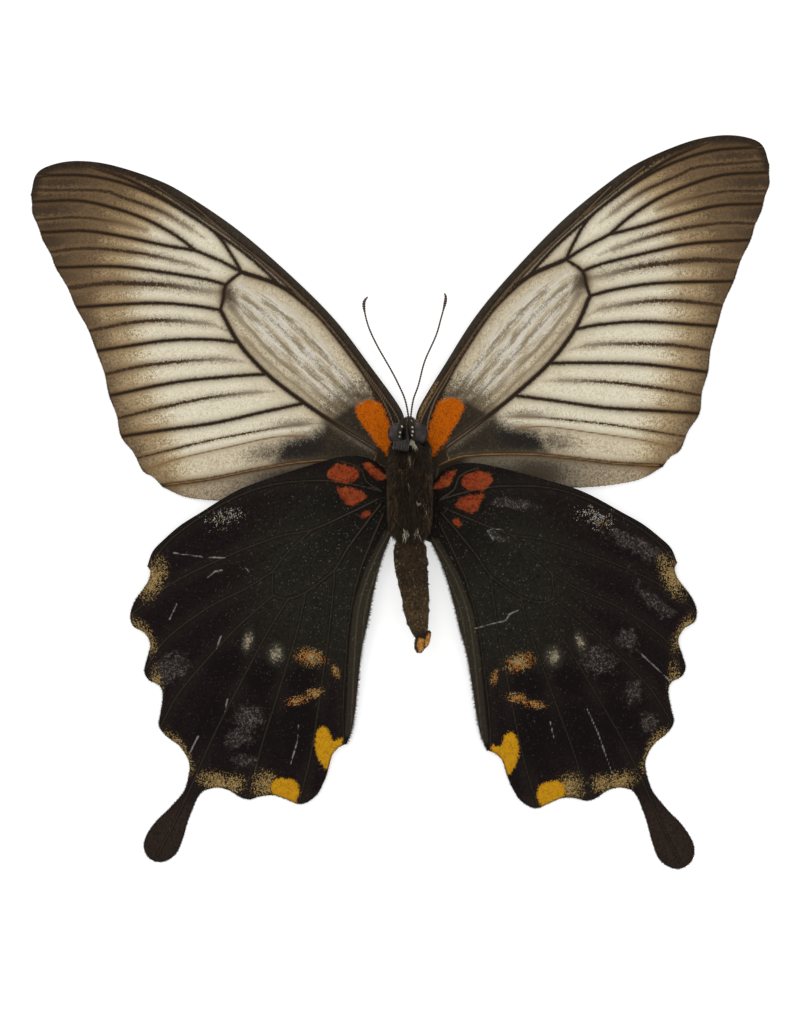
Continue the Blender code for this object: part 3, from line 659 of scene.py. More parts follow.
# %% [markdown]
# The pattern of a wing follows its veins: each space between two veins has a dark stripe
# down its middle, the border is brown, and the base is smoky. So the drawing below gives
# curves and patches, and each vertex keeps its distance to them as a number that the
# paint reads. That keeps the shapes where they belong and the paint itself procedural.

# %% Markings of the forewing
FORE_STRIPES = (
    (0.9, (30.7, 45.1), (33.9, 47.6), (37.7, 50.2), (43.7, 52.9), (46.9, 54.2), (56.5, 55.1)),
    (0.8, (40.1, 47.2), (43.7, 48.6), (46.6, 49.3), (51.0, 50.2), (57.2, 50.3)),
    (0.9, (30.4, 39.8), (35.4, 41.7), (40.9, 43.4), (47.3, 44.7), (51.8, 45.1), (56.3, 44.9)),
    (1.3, (27.6, 36.1), (30.7, 36.4), (37.4, 38.0), (43.7, 38.8), (47.3, 39.1), (54.0, 38.8)),
    (1.0, (28.7, 29.9), (30.7, 31.0), (37.4, 32.2), (43.4, 32.4), (51.0, 31.6)),
    (0.9, (25.8, 24.4), (28.3, 25.0), (30.7, 25.3), (35.4, 25.4), (42.5, 25.2), (48.9, 24.3)),
    (0.8, (21.4, 19.3), (24.4, 19.4), (31.5, 19.2), (39.4, 18.3), (47.3, 17.0)),
    (0.5, (14.5, 13.5), (19.7, 13.5), (27.4, 12.8), (33.5, 12.1), (44.7, 10.3)),
)
CELL_STRIPES = (
    (0.3, 0.12, 0.86), (0.45, 0.1, 0.93), (0.6, 0.13, 0.98), (0.75, 0.16, 0.95),
    (0.88, 0.3, 0.84),
)
CELL_STEPS = 40
FORE_BORDER = ((34.0, 62.0), (38.5, 53.4), (43.7, 48.7), (46.8, 39.0), (46.5, 32.5), (46.2, 27.6),
               (45.2, 21.9), (43.6, 16.2), (41.9, 11.4), (40.6, 3.0))
ORANGE_PATCH = (
    (4.4, 16.0), (6.3, 16.7), (8.0, 16.2), (8.6, 14.9), (7.8, 13.0), (6.6, 11.0),
    (5.2, 8.9), (3.9, 7.3), (2.6, 7.0), (2.2, 8.4), (2.8, 11.2), (3.6, 13.9),
)
SMOKE_SPOTS = (
    (0.62, (22.6, 9.4), (4.2, 1.6), -4), (0.7, (27.8, 35.6), (1.5, 1.7), 0),
    (0.62, (7.0, 17.2), (2.6, 0.8), 12), (0.55, (10.2, 15.8), (1.6, 1.2), 30),
    (0.45, (18.4, 13.9), (4.2, 0.8), 2),
)
FORE_GLOWS = {
    "blot": ((18.0, 10.0), (3.8, 1.6), -8),
    "smudge": ((27.6, 35.2), (1.1, 2.6), -25),
    "rear_smudge": ((20.6, 4.6), (4.6, 2.0), -6),
}
SMOKE_BASES = (
    ((-2.0, 8.6), (3.1, 7.4), (6.7, 9.3), (9.6, 11.4), (13.2, 14.2), (14.4, 13.0), (16.2, 12.0),
     (19.3, 11.5), (21.4, 10.4), (22.3, 8.7), (22.3, 7.4), (17.7, 7.0), (9.3, 6.7),
     (6.5, 5.4), (5.4, 1.0), (-2.0, 0.0)),
    ((3.0, 7.6), (5.4, 10.6), (7.2, 13.6), (8.6, 16.2), (10.4, 15.4), (12.4, 13.8), (9.6, 11.4), (6.7, 9.3)),
)
GOLD_STREAK = ((1.1, 12.6), (1.7, 14.4), (2.6, 16.2), (4.2, 19.0))
COSTAL_BAND = (
    (47.0, 60.5), (47.0, 58.1), (41.7, 55.9), (35.6, 52.0), (29.1, 46.9), (23.5, 41.9), (18.9, 37.1),
    (13.5, 31.2), (9.8, 26.2), (7.2, 21.8), (5.7, 18.0), (5.0, 14.5), (4.4, 11.4), (4.0, 8.9), (1, 5),
    (-6, 12), (8, 38), (30, 60),
)
print("forewing:", len(CELL_STRIPES), "stripes,", len(FORE_GLOWS), "smudges")

# %% [markdown]
# These functions turn the drawing into numbers: how far inside a patch a vertex lies, how
# near a vein or a stripe it is, and how strongly an oval glows there.

# %% From patches to numbers
def signed(points, patch, reach=9.0):
    """Distance to a closed patch's edge in millimetres, more than 0 inside."""
    patch = np.asarray(patch, float)
    near, _ = nearest_on(points, np.vstack([patch, patch[:1]]), reach)
    return np.where(inside(points, patch), near, -near)


def rounded(patch):
    """A closed patch with its corners rounded by a smooth curve through them."""
    return smooth_path([*patch, patch[0]], 0.6)[:-1]


def oval(centre, radii, turn=0.0, pieces=20):
    """The outline of an oval patch."""
    angles = np.linspace(0, 2 * math.pi, pieces, endpoint=False)
    ring = np.column_stack([np.cos(angles) * radii[0], np.sin(angles) * radii[1]]) + centre
    return turned(ring, centre, math.radians(turn))


def glow(points, centre, radii, turn=0.0):
    """1 in the middle of an oval, 0.5 on its edge and 0 at about twice its size."""
    reach = turned(points - centre, (0, 0), -math.radians(turn)) / radii
    return np.exp(-0.69 * (reach ** 2).sum(1))


def keep_number(piece, name, values):
    """Keep one number for each vertex of a piece."""
    store = piece.data.attributes.new(name, "FLOAT", "POINT")
    store.data.foreach_set("value", np.asarray(values, np.float32))


def flat_points(piece):
    """The place of each vertex seen from above, in millimetres."""
    flat = np.empty(len(piece.data.vertices) * 3)
    piece.data.vertices.foreach_get("co", flat)
    return flat.reshape(-1, 3)[:, :2] / MM


def vein_distance(points, veins):
    """How far each point lies from the nearest vein, its own extra width left out."""
    near = np.full(len(points), 3.0)
    for path, half in veins:
        extra = (half - PLAIN_VEIN) * 2.5
        near = np.minimum(near, np.maximum(nearest_on(points, path, 3.0)[0] - extra, 0))
    return near


def stripes(points, ways, reach=2.0):
    """Distance to the nearest of several stripes, weaker ones counting as farther."""
    near = np.full(len(points), reach)
    start = np.full(len(points), 9.0)
    for strength, path in ways:
        far = nearest_on(points, path, reach)[0] / strength
        from_end = np.hypot(*(points - path[0]).T)
        start = np.where(far < near, from_end, start)
        near = np.minimum(near, far)
    return near, start


print("patches, veins and ovals can be measured")

# %% [markdown]
# Both forewings get the same set of numbers, from one loop. The streaks of the cell run
# between its two edges, so they follow the share of the way from one edge to the other.

# %% Keep the forewing's numbers
for side in (1, -1):
    sheet = SHEETS["fore", side]
    points = flat_points(sheet)
    keep_number(sheet, "vein", vein_distance(points, VEINS["fore", side]))
    lines = [(path, PLAIN_VEIN) for path, _ in VEINS["fore", side]]
    keep_number(sheet, "line", vein_distance(points, lines))
    golden = [FORE_MAIN_VEINS["anal"], FORE_BRANCHES["fold"], FORE_BRANCHES["cross"]]
    golden = [(smooth_path(placed(way, "fore", side), 1.0), PLAIN_VEIN) for way in golden]
    keep_number(sheet, "gold_line", vein_distance(points, golden))
    streak = smooth_path(placed(GOLD_STREAK, "fore", side), 0.5)
    keep_number(sheet, "gold_streak", nearest_on(points, streak, 2.0)[0] + (side < 0))
    for name, (centre, radii, turn) in FORE_GLOWS.items():
        centre = placed([centre], "fore", side)[0]
        keep_number(sheet, name, glow(points, centre, radii, turn * side))
    ways = [(s, to_margin(smooth_path(placed(way, "fore", side), 1.2), 2.5)) for s, *way in FORE_STRIPES]
    near, start = stripes(points, ways)
    keep_number(sheet, "stripe", near)
    keep_number(sheet, "stripe_start", start)
    top = smooth_path(placed(FORE_MAIN_VEINS["radius"], "fore", side), 0.5)
    low = smooth_path(placed(FORE_MAIN_VEINS["cubitus"], "fore", side), 0.5)
    steps = np.linspace(0.0, 0.99, CELL_STEPS)
    top = top[(steps * (len(top) - 1)).astype(int)]
    low = low[(steps * (len(low) - 1)).astype(int)]
    ways = []
    for share, first, last in CELL_STRIPES:
        path = top + (low - top) * share
        first, last = int(first * CELL_STEPS), int(last * CELL_STEPS)
        ways.append((1.0, path[first:last + 1][::-1]))
    keep_number(sheet, "ray", stripes(points, ways, 1.6)[0])
    keep_number(sheet, "cell", signed(points, np.vstack([top, low[::-1]]), 6.0))
    to_top, to_low = nearest_on(points, top)[0], nearest_on(points, low)[0]
    keep_number(sheet, "across", to_top / np.maximum(to_top + to_low, 0.1))
    border = placed(FORE_BORDER, "fore", side)
    outer = np.vstack([border, placed([(75, 3), (75, 70), (34, 70)], "fore", side)])
    keep_number(sheet, "border", signed(points, outer, 30.0))
    rim = smooth_path(placed(FORE_MARGIN, "fore", side), 1.0)
    keep_number(sheet, "margin", nearest_on(points, rim)[0])
    costa = smooth_path(placed(FORE_COSTA, "fore", side), 1.0)
    keep_number(sheet, "costa", nearest_on(points, costa)[0])
    keep_number(sheet, "orange", signed(points, rounded(placed(ORANGE_PATCH, "fore", side))))
    smoke = np.zeros(len(points))
    for strength, centre, radii, turn in SMOKE_SPOTS:
        centre = placed([centre], "fore", side)[0]
        turn = turn if side > 0 else 180 - turn + 4.7
        smoke = np.maximum(smoke, strength * glow(points, centre, radii, turn))
    for base, soft in zip(SMOKE_BASES, (4.4, 2.6)):
        base = signed(points, rounded(placed(base, "fore", side)))
        smoke = np.maximum(smoke, ease(0.5 + base / soft))
    keep_number(sheet, "smoke", smoke)
    keep_number(sheet, "band", signed(points, placed(COSTAL_BAND, "fore", side), 4.0))
    inner = placed([(4.4, 5.6), *FORE_MAIN_VEINS["anal"][1:], (41, -4), (3, -4)], "fore", side)
    keep_number(sheet, "rear", signed(points, inner))
    keep_number(sheet, "root", np.hypot(*(points - HINGES["fore", side]).T))
    lower = [*FORE_BRANCHES["fold"], *FORE_MAIN_VEINS["anal"][::-1]]
    keep_number(sheet, "lower", signed(points, placed(lower, "fore", side), 3.0))
print("forewing markings kept")

# %% [markdown]
# The forewing is cream, dusted with dark scales that gather along the veins, in the
# middle of each space and towards the border. Each scale is a tenth of a millimetre, so
# a fine grain breaks up every edge. The veins are brown and stand up a little.

# %% Paint of the forewing
CREAM = tone(231, 224, 202)
WARM_CREAM = tone(212, 199, 170)
TAN = tone(160, 131, 88)
SCALE_BROWN = tone(112, 92, 68)
STRIPE_BROWN = tone(62, 47, 33)
VEIN_DARK = tone(44, 34, 26)
BORDER_BROWN = tone(88, 69, 50)
BAND_BROWN = tone(38, 31, 25)
VEIN_GOLD = tone(134, 101, 62)
ORANGE = tone(188, 92, 4)
ORANGE_DARK = tone(140, 64, 5)
SMOKE_BLACK = tone(33, 30, 29)

fore = Paint("forewing_scales", Roughness=0.62, Specular_IOR_Level=0.04)
grain = fore.cells(0.2, out="Color")
fine = fore.cells(0.13, out="Color")
speck = fore.noise(0.5, 2.0, roughness=0.7)
cloud = fore.noise(3.2, 3.0)
vein = fore.read("vein")
stripe = fore.read("stripe")
start = fore.read("stripe_start")
cell = fore.read("cell")
in_cell = cell.rise(-0.2, 0.4)
border = fore.read("border")
costa = fore.read("costa")
root = fore.read("root")
rear = fore.read("rear").rise(-0.3, 0.5)
fleck = (grain + fine + speck * 1.6 - 1.8) * 1.5
fore.fleck = fleck

fore.ground = fore.scales(-0.7, 0.9, CREAM, WARM_CREAM)
near_cell = cell.rise(-5.0, -0.3) * (cloud + fleck * 0.2).rise(0.1, 0.7)
fore.over(near_cell * 0.6, tone(186, 170, 136))
fore.over(in_cell * 0.7, fore.scales(-0.3, 0.7, tone(203, 188, 157), tone(138, 118, 90)))
across = fore.read("across")
drawn = fore.streaks(across * 15.0, root * 0.16)
hairline = fore.streaks(across * 34.0, root * 0.3, 2.0)
light_ray = (across + fleck * 0.04).rise(0.12, 0.28) * (across + fleck * 0.04).rise(0.86, 0.6)
light_ray = light_ray * (drawn + (hairline - 0.5) * 0.6 + fleck * 0.16).rise(0.42, 0.6)
fore.over(light_ray * in_cell * 0.75, tone(222, 217, 206))
ray = (fore.read("ray") + fleck * 0.42 + (drawn - 0.5) * 1.1 + (hairline - 0.5) * 0.7).rise(0.62, 0.0)
fore.over(ray * in_cell * 0.62, tone(98, 83, 60))
smudge = (fore.read("smudge") + fleck * 0.12).rise(0.25, 0.95)
fore.over(smudge * 0.6, tone(64, 56, 46))
peppered = in_cell * (root.rise(17.5, 9.5) + fleck * 0.35).rise(0.35, 0.95)
fore.over(peppered * 0.8, tone(66, 56, 43))
lower = fore.read("lower").rise(-0.3, 0.6)
fore.over(lower * 0.4, fore.scales(-0.6, 0.6, tone(196, 173, 136), tone(140, 116, 84)))
fore.over(rear * 0.85, fore.scales(-0.6, 0.6, tone(166, 147, 118), tone(104, 86, 66)))
fore.over(rear * root.rise(32, 17) * 0.9, fore.scales(0.0, 1.2, tone(99, 93, 79), tone(70, 62, 50)))
smudge = rear * (fore.read("rear_smudge") + fleck * 0.12).rise(0.15, 0.9)
fore.over(smudge * 0.8, tone(56, 46, 37))
print("forewing: ground laid")

# %% [markdown]
# Dark dust lies along the veins and darkens towards the border, which turns from tan to
# brown. The stripes and the smoke of the base come over it, then the veins themselves.

# %% Dust, border and stripes of the forewing
dust = (vein + fleck * 0.35).rise(1.3, 0.15)
fore.over(dust * 0.5, SCALE_BROWN)
fore.over(
    border.rise(-7, -2) * (1.0 - rear) * 0.5,
    fore.scales(-0.6, 0.8, tone(216, 197, 152), tone(176, 150, 108)),
)
tan = (border + fleck * 1.6 + (cloud - 0.5) * 3).rise(-5.5, -0.5)
fore.over(tan * 0.8, fore.scales(-0.5, 0.8, TAN, tone(120, 98, 70)))
brown = (border + fleck * 1.4 + (cloud - 0.5) * 3).rise(-0.8, 4.5)
fore.over(brown * 0.92, fore.scales(-0.6, 0.9, tone(106, 85, 62), BORDER_BROWN))
fore.over(border.rise(4, 12) * 0.85, fore.scales(-0.9, 1.0, tone(68, 54, 41), tone(48, 37, 30)))
rim = (fore.read("margin") + fleck * 0.6).rise(4.5, 0.3)
fore.over(rim * (0.35 + rear * 0.35), tone(66, 52, 38))
golden = (stripe.min(vein + 0.1) + fleck * 0.3).rise(1.25, 0.2) * border.rise(-12, -3)
fore.over(golden * 0.45, tone(124, 95, 58))
soft_stripe = (stripe + fleck * 0.6 + start.rise(3.5, 0.5) * 0.7).rise(1.0, 0.25)
fore.over(soft_stripe * 0.62, SCALE_BROWN)
line = (stripe + fleck * 0.15 - start.rise(0, 8) * 0.06).rise(0.36, 0.1)
fore.over(line * (0.2 + start.rise(1, 12) * 0.8), STRIPE_BROWN)
hazy = (fore.read("smoke") + fleck * 0.12).rise(0.0, 0.45) * (1.0 - rear * 0.85)
fore.over(hazy * 0.5, tone(126, 108, 82))
smoke = (fore.read("smoke") + fleck * 0.17).rise(0.15, 0.95) * (1.0 - rear * 0.85)
sooty = fore.scales(-0.3, 1.0, tone(41, 35, 28), tone(66, 58, 46))
sooty = fore.mix(fore.read("blot").rise(0.2, 0.75) * 0.85, sooty, SMOKE_BLACK)
fore.over(smoke, sooty)
print("forewing: dust, border and stripes laid")

# %% [markdown]
# The veins are the last layer but one, dark with a paler crest. The orange patch lies at
# the base, and the margin ends in a thin dark rim.

# %% Veins and orange patch of the forewing
halo = (vein + fleck * 0.14).rise(0.56, 0.2)
fore.over(halo * 0.7, STRIPE_BROWN)
fore.over((vein + fleck * 0.05).rise(0.3, 0.13), VEIN_DARK)
band = (fore.read("band") + fleck * 0.3 + (speck - 0.5) * 0.8).rise(-0.2, 0.25)
band = band.max((costa + fleck * 0.3).rise(1.5, 0.5) * 0.85)
fore.over(band * 0.97, fore.mix(speck.rise(0.45, 0.75), BAND_BROWN, tone(60, 49, 34)))
thin = (fore.read("line") + (speck - 0.5) * 0.08).rise(0.18, 0.07)
fore.over(thin * band * 0.75, tone(106, 86, 64))
fore.over(thin * root.rise(11, 5) * 0.7, tone(112, 98, 86))
gold = (fore.read("gold_line") + (speck - 0.5) * 0.08).rise(0.2, 0.07)
fore.over(gold * 0.9, VEIN_GOLD)
streak = (fore.read("gold_streak") + fleck * 0.3).rise(0.3, 0.0)
fore.over(streak * 0.8, tone(140, 114, 70))
fore.over((rear * root.rise(7.0, 4.5)).max(root.rise(3.0, 2.0)), tone(48, 40, 30))
edge = (fore.read("orange") + fleck * 0.3 + (speck - 0.5) * 0.8).rise(-0.08, 0.12)
orange = fore.scales(-0.3, 1.1, ORANGE, ORANGE_DARK)
fore.over(edge, orange)
rim_dark = fore.read("margin").rise(0.5, 0.1)
fore.over(rim_dark * 0.6, tone(56, 42, 30))
relief = fore.bump(vein.rise(0.34, 0.0), 0.1)
relief = fore.bump(fleck, 0.02, relief)
fore_paint = fore.finish(Base_Color=fore.ground, Roughness=0.52 + speck * 0.25, Normal=relief)
for side in (1, -1):
    SHEETS["fore", side].data.materials.append(fore_paint)
print("forewings painted")

# %% [markdown]
# The hindwing is nearly black, with a painted green sheen in its inner half, red patches at the
# base and yellow ones at the hind edge, dusted with gold scales in the notches. Old
# specimens lose scales in grey, flaky patches and get fine pale scratches. The worn
# places differ from left to right, so each side has its own list.

# %% Markings of the hindwing
RED_PATCHES = (
    oval((10.6, 3.1), (2.6, 1.6), 8),
    ((3.6, 1.9), (5.2, 1.8), (6.5, 3.0), (7.4, 4.7), (6.2, 4.6), (4.6, 3.4)),
    ((7.0, -0.7), (8.6, 0.6), (10.6, 1.0), (11.9, 0.9), (11.2, -0.6), (10.3, -2.0), (8.4, -1.8)),
    oval((7.4, -3.6), (0.9, 0.6), -30),
)
YELLOW_PATCHES = (
    ((13.0, -39.6), (14.5, -39.9), (15.2, -38.2), (16.1, -37.6), (17.1, -38.3), (17.5, -40.1),
     (17.4, -42.0), (16.6, -43.9), (15.6, -44.6), (14.6, -42.2), (13.2, -41.2)),
    ((20.4, -48.2), (20.9, -46.4), (22.8, -45.7), (24.2, -45.7), (24.9, -46.4), (25.0, -48.0),
     (23.0, -49.2), (21.6, -50.4)),
)
GOLD_DUST = (
    ((25.9, -46.6), (1.6, 1.5), 0), ((31.0, -46.2), (1.2, 1.1), 0), ((33.9, -45.7), (2.1, 1.1), 15),
    ((39.7, -40.7), (2.6, 1.0), 62), ((43.0, -30.6), (2.8, 0.8), 95), ((44.6, -21.6), (2.2, 1.1), 60),
    ((42.3, -12.4), (2.5, 1.2), 115), ((17.5, -26.3), (1.7, 1.0), 15), ((13.5, -28.8), (0.4, 0.9), -15),
    ((17.2, -32.1), (1.1, 0.6), -10), ((20.0, -33.2), (1.3, 0.5), -8),
)
PALE_SPOTS = (
    ((23.1, -25.4), (1.0, 1.3), 10), ((27.5, -23.1), (0.7, 1.4), 15), ((17.2, -26.2), (0.8, 0.6), 0),
)
DARK_SPOTS = (
    ((19.0, -29.7), (2.9, 2.2), 0), ((25.8, -29.0), (2.6, 2.4), 0), ((31.5, -27.0), (2.8, 2.4), 0),
    ((19.5, -38.0), (3.0, 5.0), 10), ((26.5, -38.0), (3.0, 5.0), 20), ((33.5, -36.0), (3.0, 4.0), 30),
)
BLUE_SPECKS = (((30.2, -2.9), (2.7, 1.3), -18),)
WORN = {
    1: (((30.4, -25.8), (2.4, 2.0), -40), ((34.9, -22.7), (1.6, 1.3), -30),
        ((36.6, -7.3), (4.6, 1.1), -27), ((39.6, -16.6), (3.6, 1.0), -40),
        ((36.1, -31.1), (1.3, 1.6), 0), ((38.7, -36.2), (1.4, 1.6), 0), ((13.9, -6.0), (1.5, 0.6), -30),
        ((16.6, -0.6), (3.2, 0.8), -6)),
    -1: (((-38.8, -27.3), (2.6, 1.9), 25), ((-26.3, -35.4), (2.2, 1.9), 0),
         ((-28.0, -38.6), (2.2, 1.4), 25), ((-27.0, -42.4), (1.6, 1.0), 0)),
}
SCRATCHES = {
    1: (((10.4, -20.8), (13.7, -19.9), (15.4, -19.5), (15.9, -18.5), (17.5, -17.8)),
        ((13.3, -6.4), (12.4, -5.0), (13.4, -4.6), (15.0, -4.9)),
        ((28.5, -33.7), (30.4, -37.9), (32.7, -44.4)), ((36.5, -24.2), (39.0, -26.5), (42.2, -29.5)),
        ((22.6, -36.0), (23.2, -38.6))),
    -1: (((-38.5, -8.6), (-34.0, -9.2), (-30.1, -9.4)), ((-26.9, -10.9), (-26.3, -11.6)),
         ((-33.0, -12.6), (-31.8, -11.6), (-30.6, -11.4)), ((-31.6, -24.2), (-30.8, -22.0)),
         ((-30.2, -34.4), (-29.8, -32.3)), ((-36.4, -42.0), (-34.6, -38.4)),
         ((-19.6, -43.0), (-18.4, -39.0), (-18.3, -36.5)), ((-39.2, -19.4), (-38.0, -16.8))),
}
HIND_GLOWS = {"gold_dust": GOLD_DUST, "pale": PALE_SPOTS, "dark": DARK_SPOTS, "blue": BLUE_SPECKS}
INNER_FOLD = ((4.6, -6.0), (8.1, -12.2), (10.4, -18.4), (11.4, -25.0), (12.2, -33.0), (12.9, -39.6))
print("hindwing:", len(RED_PATCHES), "red,", len(YELLOW_PATCHES), "yellow patches")

# %% [markdown]
# The hindwings get their numbers in the same way. Spots are listed for the right wing and
# placed on the left one, but worn patches and scratches belong to one side only.

# %% Keep the hindwing's numbers
def strongest(points, side, spots, reach=1.0):
    """The strongest of several glowing ovals, given for the right wing."""
    most = np.zeros(len(points))
    for centre, radii, turn in spots:
        if side < 0:
            centre = placed([centre], "hind", side)[0]
            turn = 180 - turn + 2.9
        most = np.maximum(most, glow(points, centre, np.array(radii) * reach, turn))
    return most


for side in (1, -1):
    sheet = SHEETS["hind", side]
    points = flat_points(sheet)
    keep_number(sheet, "vein", vein_distance(points, VEINS["hind", side]))
    for name, patches in (("red", RED_PATCHES), ("yellow", YELLOW_PATCHES)):
        depth = np.full(len(points), -9.0)
        for patch in patches:
            patch = rounded(placed(patch, "hind", side))
            depth = np.maximum(depth, signed(points, patch, 3.0))
        keep_number(sheet, name, depth)
    for name, spots in HIND_GLOWS.items():
        keep_number(sheet, name, strongest(points, side, spots))
    worn = np.zeros(len(points))
    for centre, radii, turn in WORN[side]:
        worn = np.maximum(worn, glow(points, centre, radii, turn))
    keep_number(sheet, "worn", worn)
    scratch = np.full(len(points), 2.0)
    for way in SCRATCHES[side]:
        scratch = np.minimum(scratch, nearest_on(points, np.array(way), 2.0)[0])
    keep_number(sheet, "scratch", scratch)
    fold = placed(INNER_FOLD, "hind", side)
    strip = np.vstack([fold, placed([(6, -42), (-6, -42), (-6, -6)], "hind", side)])
    keep_number(sheet, "strip", signed(points, strip))
    lines = [(path, PLAIN_VEIN) for path, _ in VEINS["hind", side]]
    keep_number(sheet, "line", vein_distance(points, lines))
    keep_number(sheet, "root", np.hypot(*(points - HINGES["hind", side]).T))
    keep_number(sheet, "tail", points[:, 1] + 48)
    folds = [smooth_path(fold - (side * shift, 0), 1.3) for shift in (1.2, 2.3)]
    keep_number(sheet, "fold", np.min([nearest_on(points, way, 3.0)[0] for way in folds], axis=0))
    disc = placed([(12.0, -13.0)], "hind", side)[0]
    keep_number(sheet, "disc", glow(points, disc, (14, 13), -45 * side))
    runs = [placed(run, "hind", side) for run in (HIND_LOBES, HIND_TAIL, HIND_REAR)]
    rim = np.vstack([smooth_path(run, 1.0) for run in runs])
    keep_number(sheet, "margin", nearest_on(points, rim, 6.0)[0])
print("hindwing markings kept")

# %% [markdown]
# The black of the hindwing is never even: a painted green sheen lies over the disc, it is
# purple-brown outside, paler along the veins, and full of single pale scales. The gold and the grey
# are dust: whole scales of one colour, dense in the middle of a patch and sparse at its
# edge. Random cells of a scale's size, cut off by the patch's strength, give that.

# %% Paint of the hindwing
hind = Paint("hindwing_scales", Roughness=0.6, Specular_IOR_Level=0.02)
grain = hind.cells(0.2, out="Color")
fine = hind.cells(0.13, out="Color")
speck = hind.noise(0.5, 2.0, roughness=0.7)
cloud = hind.noise(3.0, 3.0)
patchy = hind.noise(1.1, 3.0, roughness=0.65)
flaky = hind.noise(0.42, 4.0, roughness=0.75)
mottle = hind.noise(0.8, 3.0, roughness=0.6)
vein = hind.read("vein")
fleck = (grain + fine + speck * 1.6 - 1.8) * 1.5
disc = hind.read("disc")
hind.fleck = fleck

hind.ground = hind.scales(-0.8, 1.0, tone(29, 22, 22), tone(19, 14, 14))
# Painted sheen: a green-olive tone laid over the disc stands in for the wing's green shine.
green_sheen = hind.scales(-0.8, 1.0, tone(38, 36, 29), tone(23, 21, 17))
hind.over((disc + (cloud - 0.5) * 0.3).rise(0.12, 0.75), green_sheen)
beside = (vein + (cloud - 0.5) * 0.8).rise(2.2, 0.3)
hind.over(beside * 0.16, tone(50, 46, 38))
base = hind.read("root").rise(15, 5)
hind.over(base * 0.6, hind.scales(-0.8, 1.0, tone(20, 16, 15), tone(13, 10, 10)))
hind.over(
    hind.read("tail").rise(2.0, -4.0) * 0.6,
    hind.scales(-0.8, 1.0, tone(60, 48, 39), tone(38, 30, 26)),
)
hind.over(hind.read("dark").rise(0.2, 0.8) * 0.75, tone(19, 15, 15))
around = hind.read("pale").rise(0.03, 0.3)
hind.over(around * 0.2, tone(72, 72, 60))
strip = hind.read("strip")
hind.over(strip.rise(-0.1, 0.5) * 0.55, tone(56, 51, 41))
hind.over((strip * strip).rise(0.16, 0.0) * 0.6, tone(18, 16, 13))
single = grain.rise(0.8, 0.86) * fine.rise(0.5, 0.6) * (0.3 + disc)
hind.over(single * 0.3, hind.mix(speck.rise(0.4, 0.6), tone(118, 120, 116), tone(142, 130, 96)))
hind.over(vein.rise(0.45, 0.15) * 0.6, tone(19, 16, 13))
thin = (hind.read("line") + (speck - 0.5) * 0.08).rise(0.19, 0.08)
hind.over(thin * (0.26 + base * 0.22), tone(80, 69, 57))
fold = (hind.read("fold") + (speck - 0.5) * 0.1).rise(0.2, 0.08)
hind.over(fold * 0.24, tone(104, 94, 74))
print("hindwing: ground laid")

# %% [markdown]
# Wear comes over the black: grey flakes, pale spots, gold dust and bluish specks. The red
# and yellow patches have ragged edges, because their scales end one by one.

# %% Wear and patches of the hindwing
worn = (hind.read("worn") * 1.1 + (patchy - 0.5) * 1.8).rise(0.25, 0.8)
flaked = worn * (flaky + (grain - 0.5) * 0.28).rise(0.49, 0.6)
hind.over(worn * 0.3, tone(58, 50, 47))
hind.over(flaked * 0.55, hind.mix(fine.rise(0.3, 0.8), tone(70, 63, 59), tone(132, 124, 118)))
pale = (hind.read("pale") + fleck * 0.34 + (patchy - 0.5) * 0.5).rise(0.42, 1.0)
hind.over(pale * 0.8, hind.mix(speck.rise(0.4, 0.7), tone(122, 111, 88), tone(168, 158, 136)))
near_rim = hind.read("margin").rise(1.6, 0.1) * 0.25
inland = hind.read("margin").rise(4.6, 5.8)
rim_dust = hind.read("gold_dust") * (0.85 + near_rim)
dusty = (rim_dust + (fine - 0.5) * 1.5 + (speck - 0.5) * 1.0).rise(0.45, 0.62)
gold = hind.mix(grain.rise(0.35, 0.65), tone(174, 147, 94), tone(136, 110, 66))
gold = hind.mix((mottle + fleck * 0.05).rise(0.49, 0.56) * inland * 0.8, gold, tone(180, 104, 26))
hind.over(dusty * hind.read("gold_dust").rise(0.02, 0.25) * 0.8, gold)
blue = (hind.read("blue") * 0.8 + (fine - 0.5) * 2.0 + (patchy - 0.5) * 1.4).rise(0.95, 1.05)
hind.over(
    blue * (0.1 + hind.read("blue").rise(0.02, 0.2) * 0.7),
    hind.mix(grain.rise(0.4, 0.55), tone(172, 178, 178), tone(140, 112, 70)),
)
nick = (hind.read("scratch") + (patchy - 0.5) * 0.35).rise(0.16, 0.04)
hind.over(nick * 0.62, tone(150, 146, 138))
edge = (hind.read("red") + fleck * 0.25 + (patchy - 0.5) * 1.0).rise(-0.1, 0.15)
red = hind.scales(-0.5, 0.8, tone(146, 61, 31), tone(104, 40, 23))
red = hind.mix((patchy + fleck * 0.12).rise(0.54, 0.66) * 0.35, red, tone(150, 96, 44))
red = hind.mix((mottle - fleck * 0.1).rise(0.5, 0.36) * 0.5, red, tone(44, 28, 22))
hind.over(edge, red)
edge = (hind.read("yellow") + fleck * 0.3).rise(-0.08, 0.15)
yellow = hind.scales(-0.4, 1.0, tone(196, 142, 20), tone(160, 112, 26))
hind.over(edge, yellow)
hind.over(hind.read("margin").rise(0.3, 0.05) * 0.5, tone(28, 22, 19))
relief = hind.bump(vein.rise(0.34, 0.0), 0.1)
relief = hind.bump(fleck, 0.02, relief)
hind_paint = hind.finish(Base_Color=hind.ground, Roughness=0.48 + speck * 0.3, Normal=relief)
for side in (1, -1):
    SHEETS["hind", side].data.materials.append(hind_paint)
print("hindwings painted")

# %% [markdown]
# Head, thorax and abdomen are one body in one skin: the frame's three solids keep gaps
# that the real animal doesn't have. Rounded blanks are laid over the solids, with a neck
# and a waist between them, joined, and remeshed to one even skin, which is smoothed. The
# overlapping rings of the abdomen are pushed in afterwards, where they stay crisp.

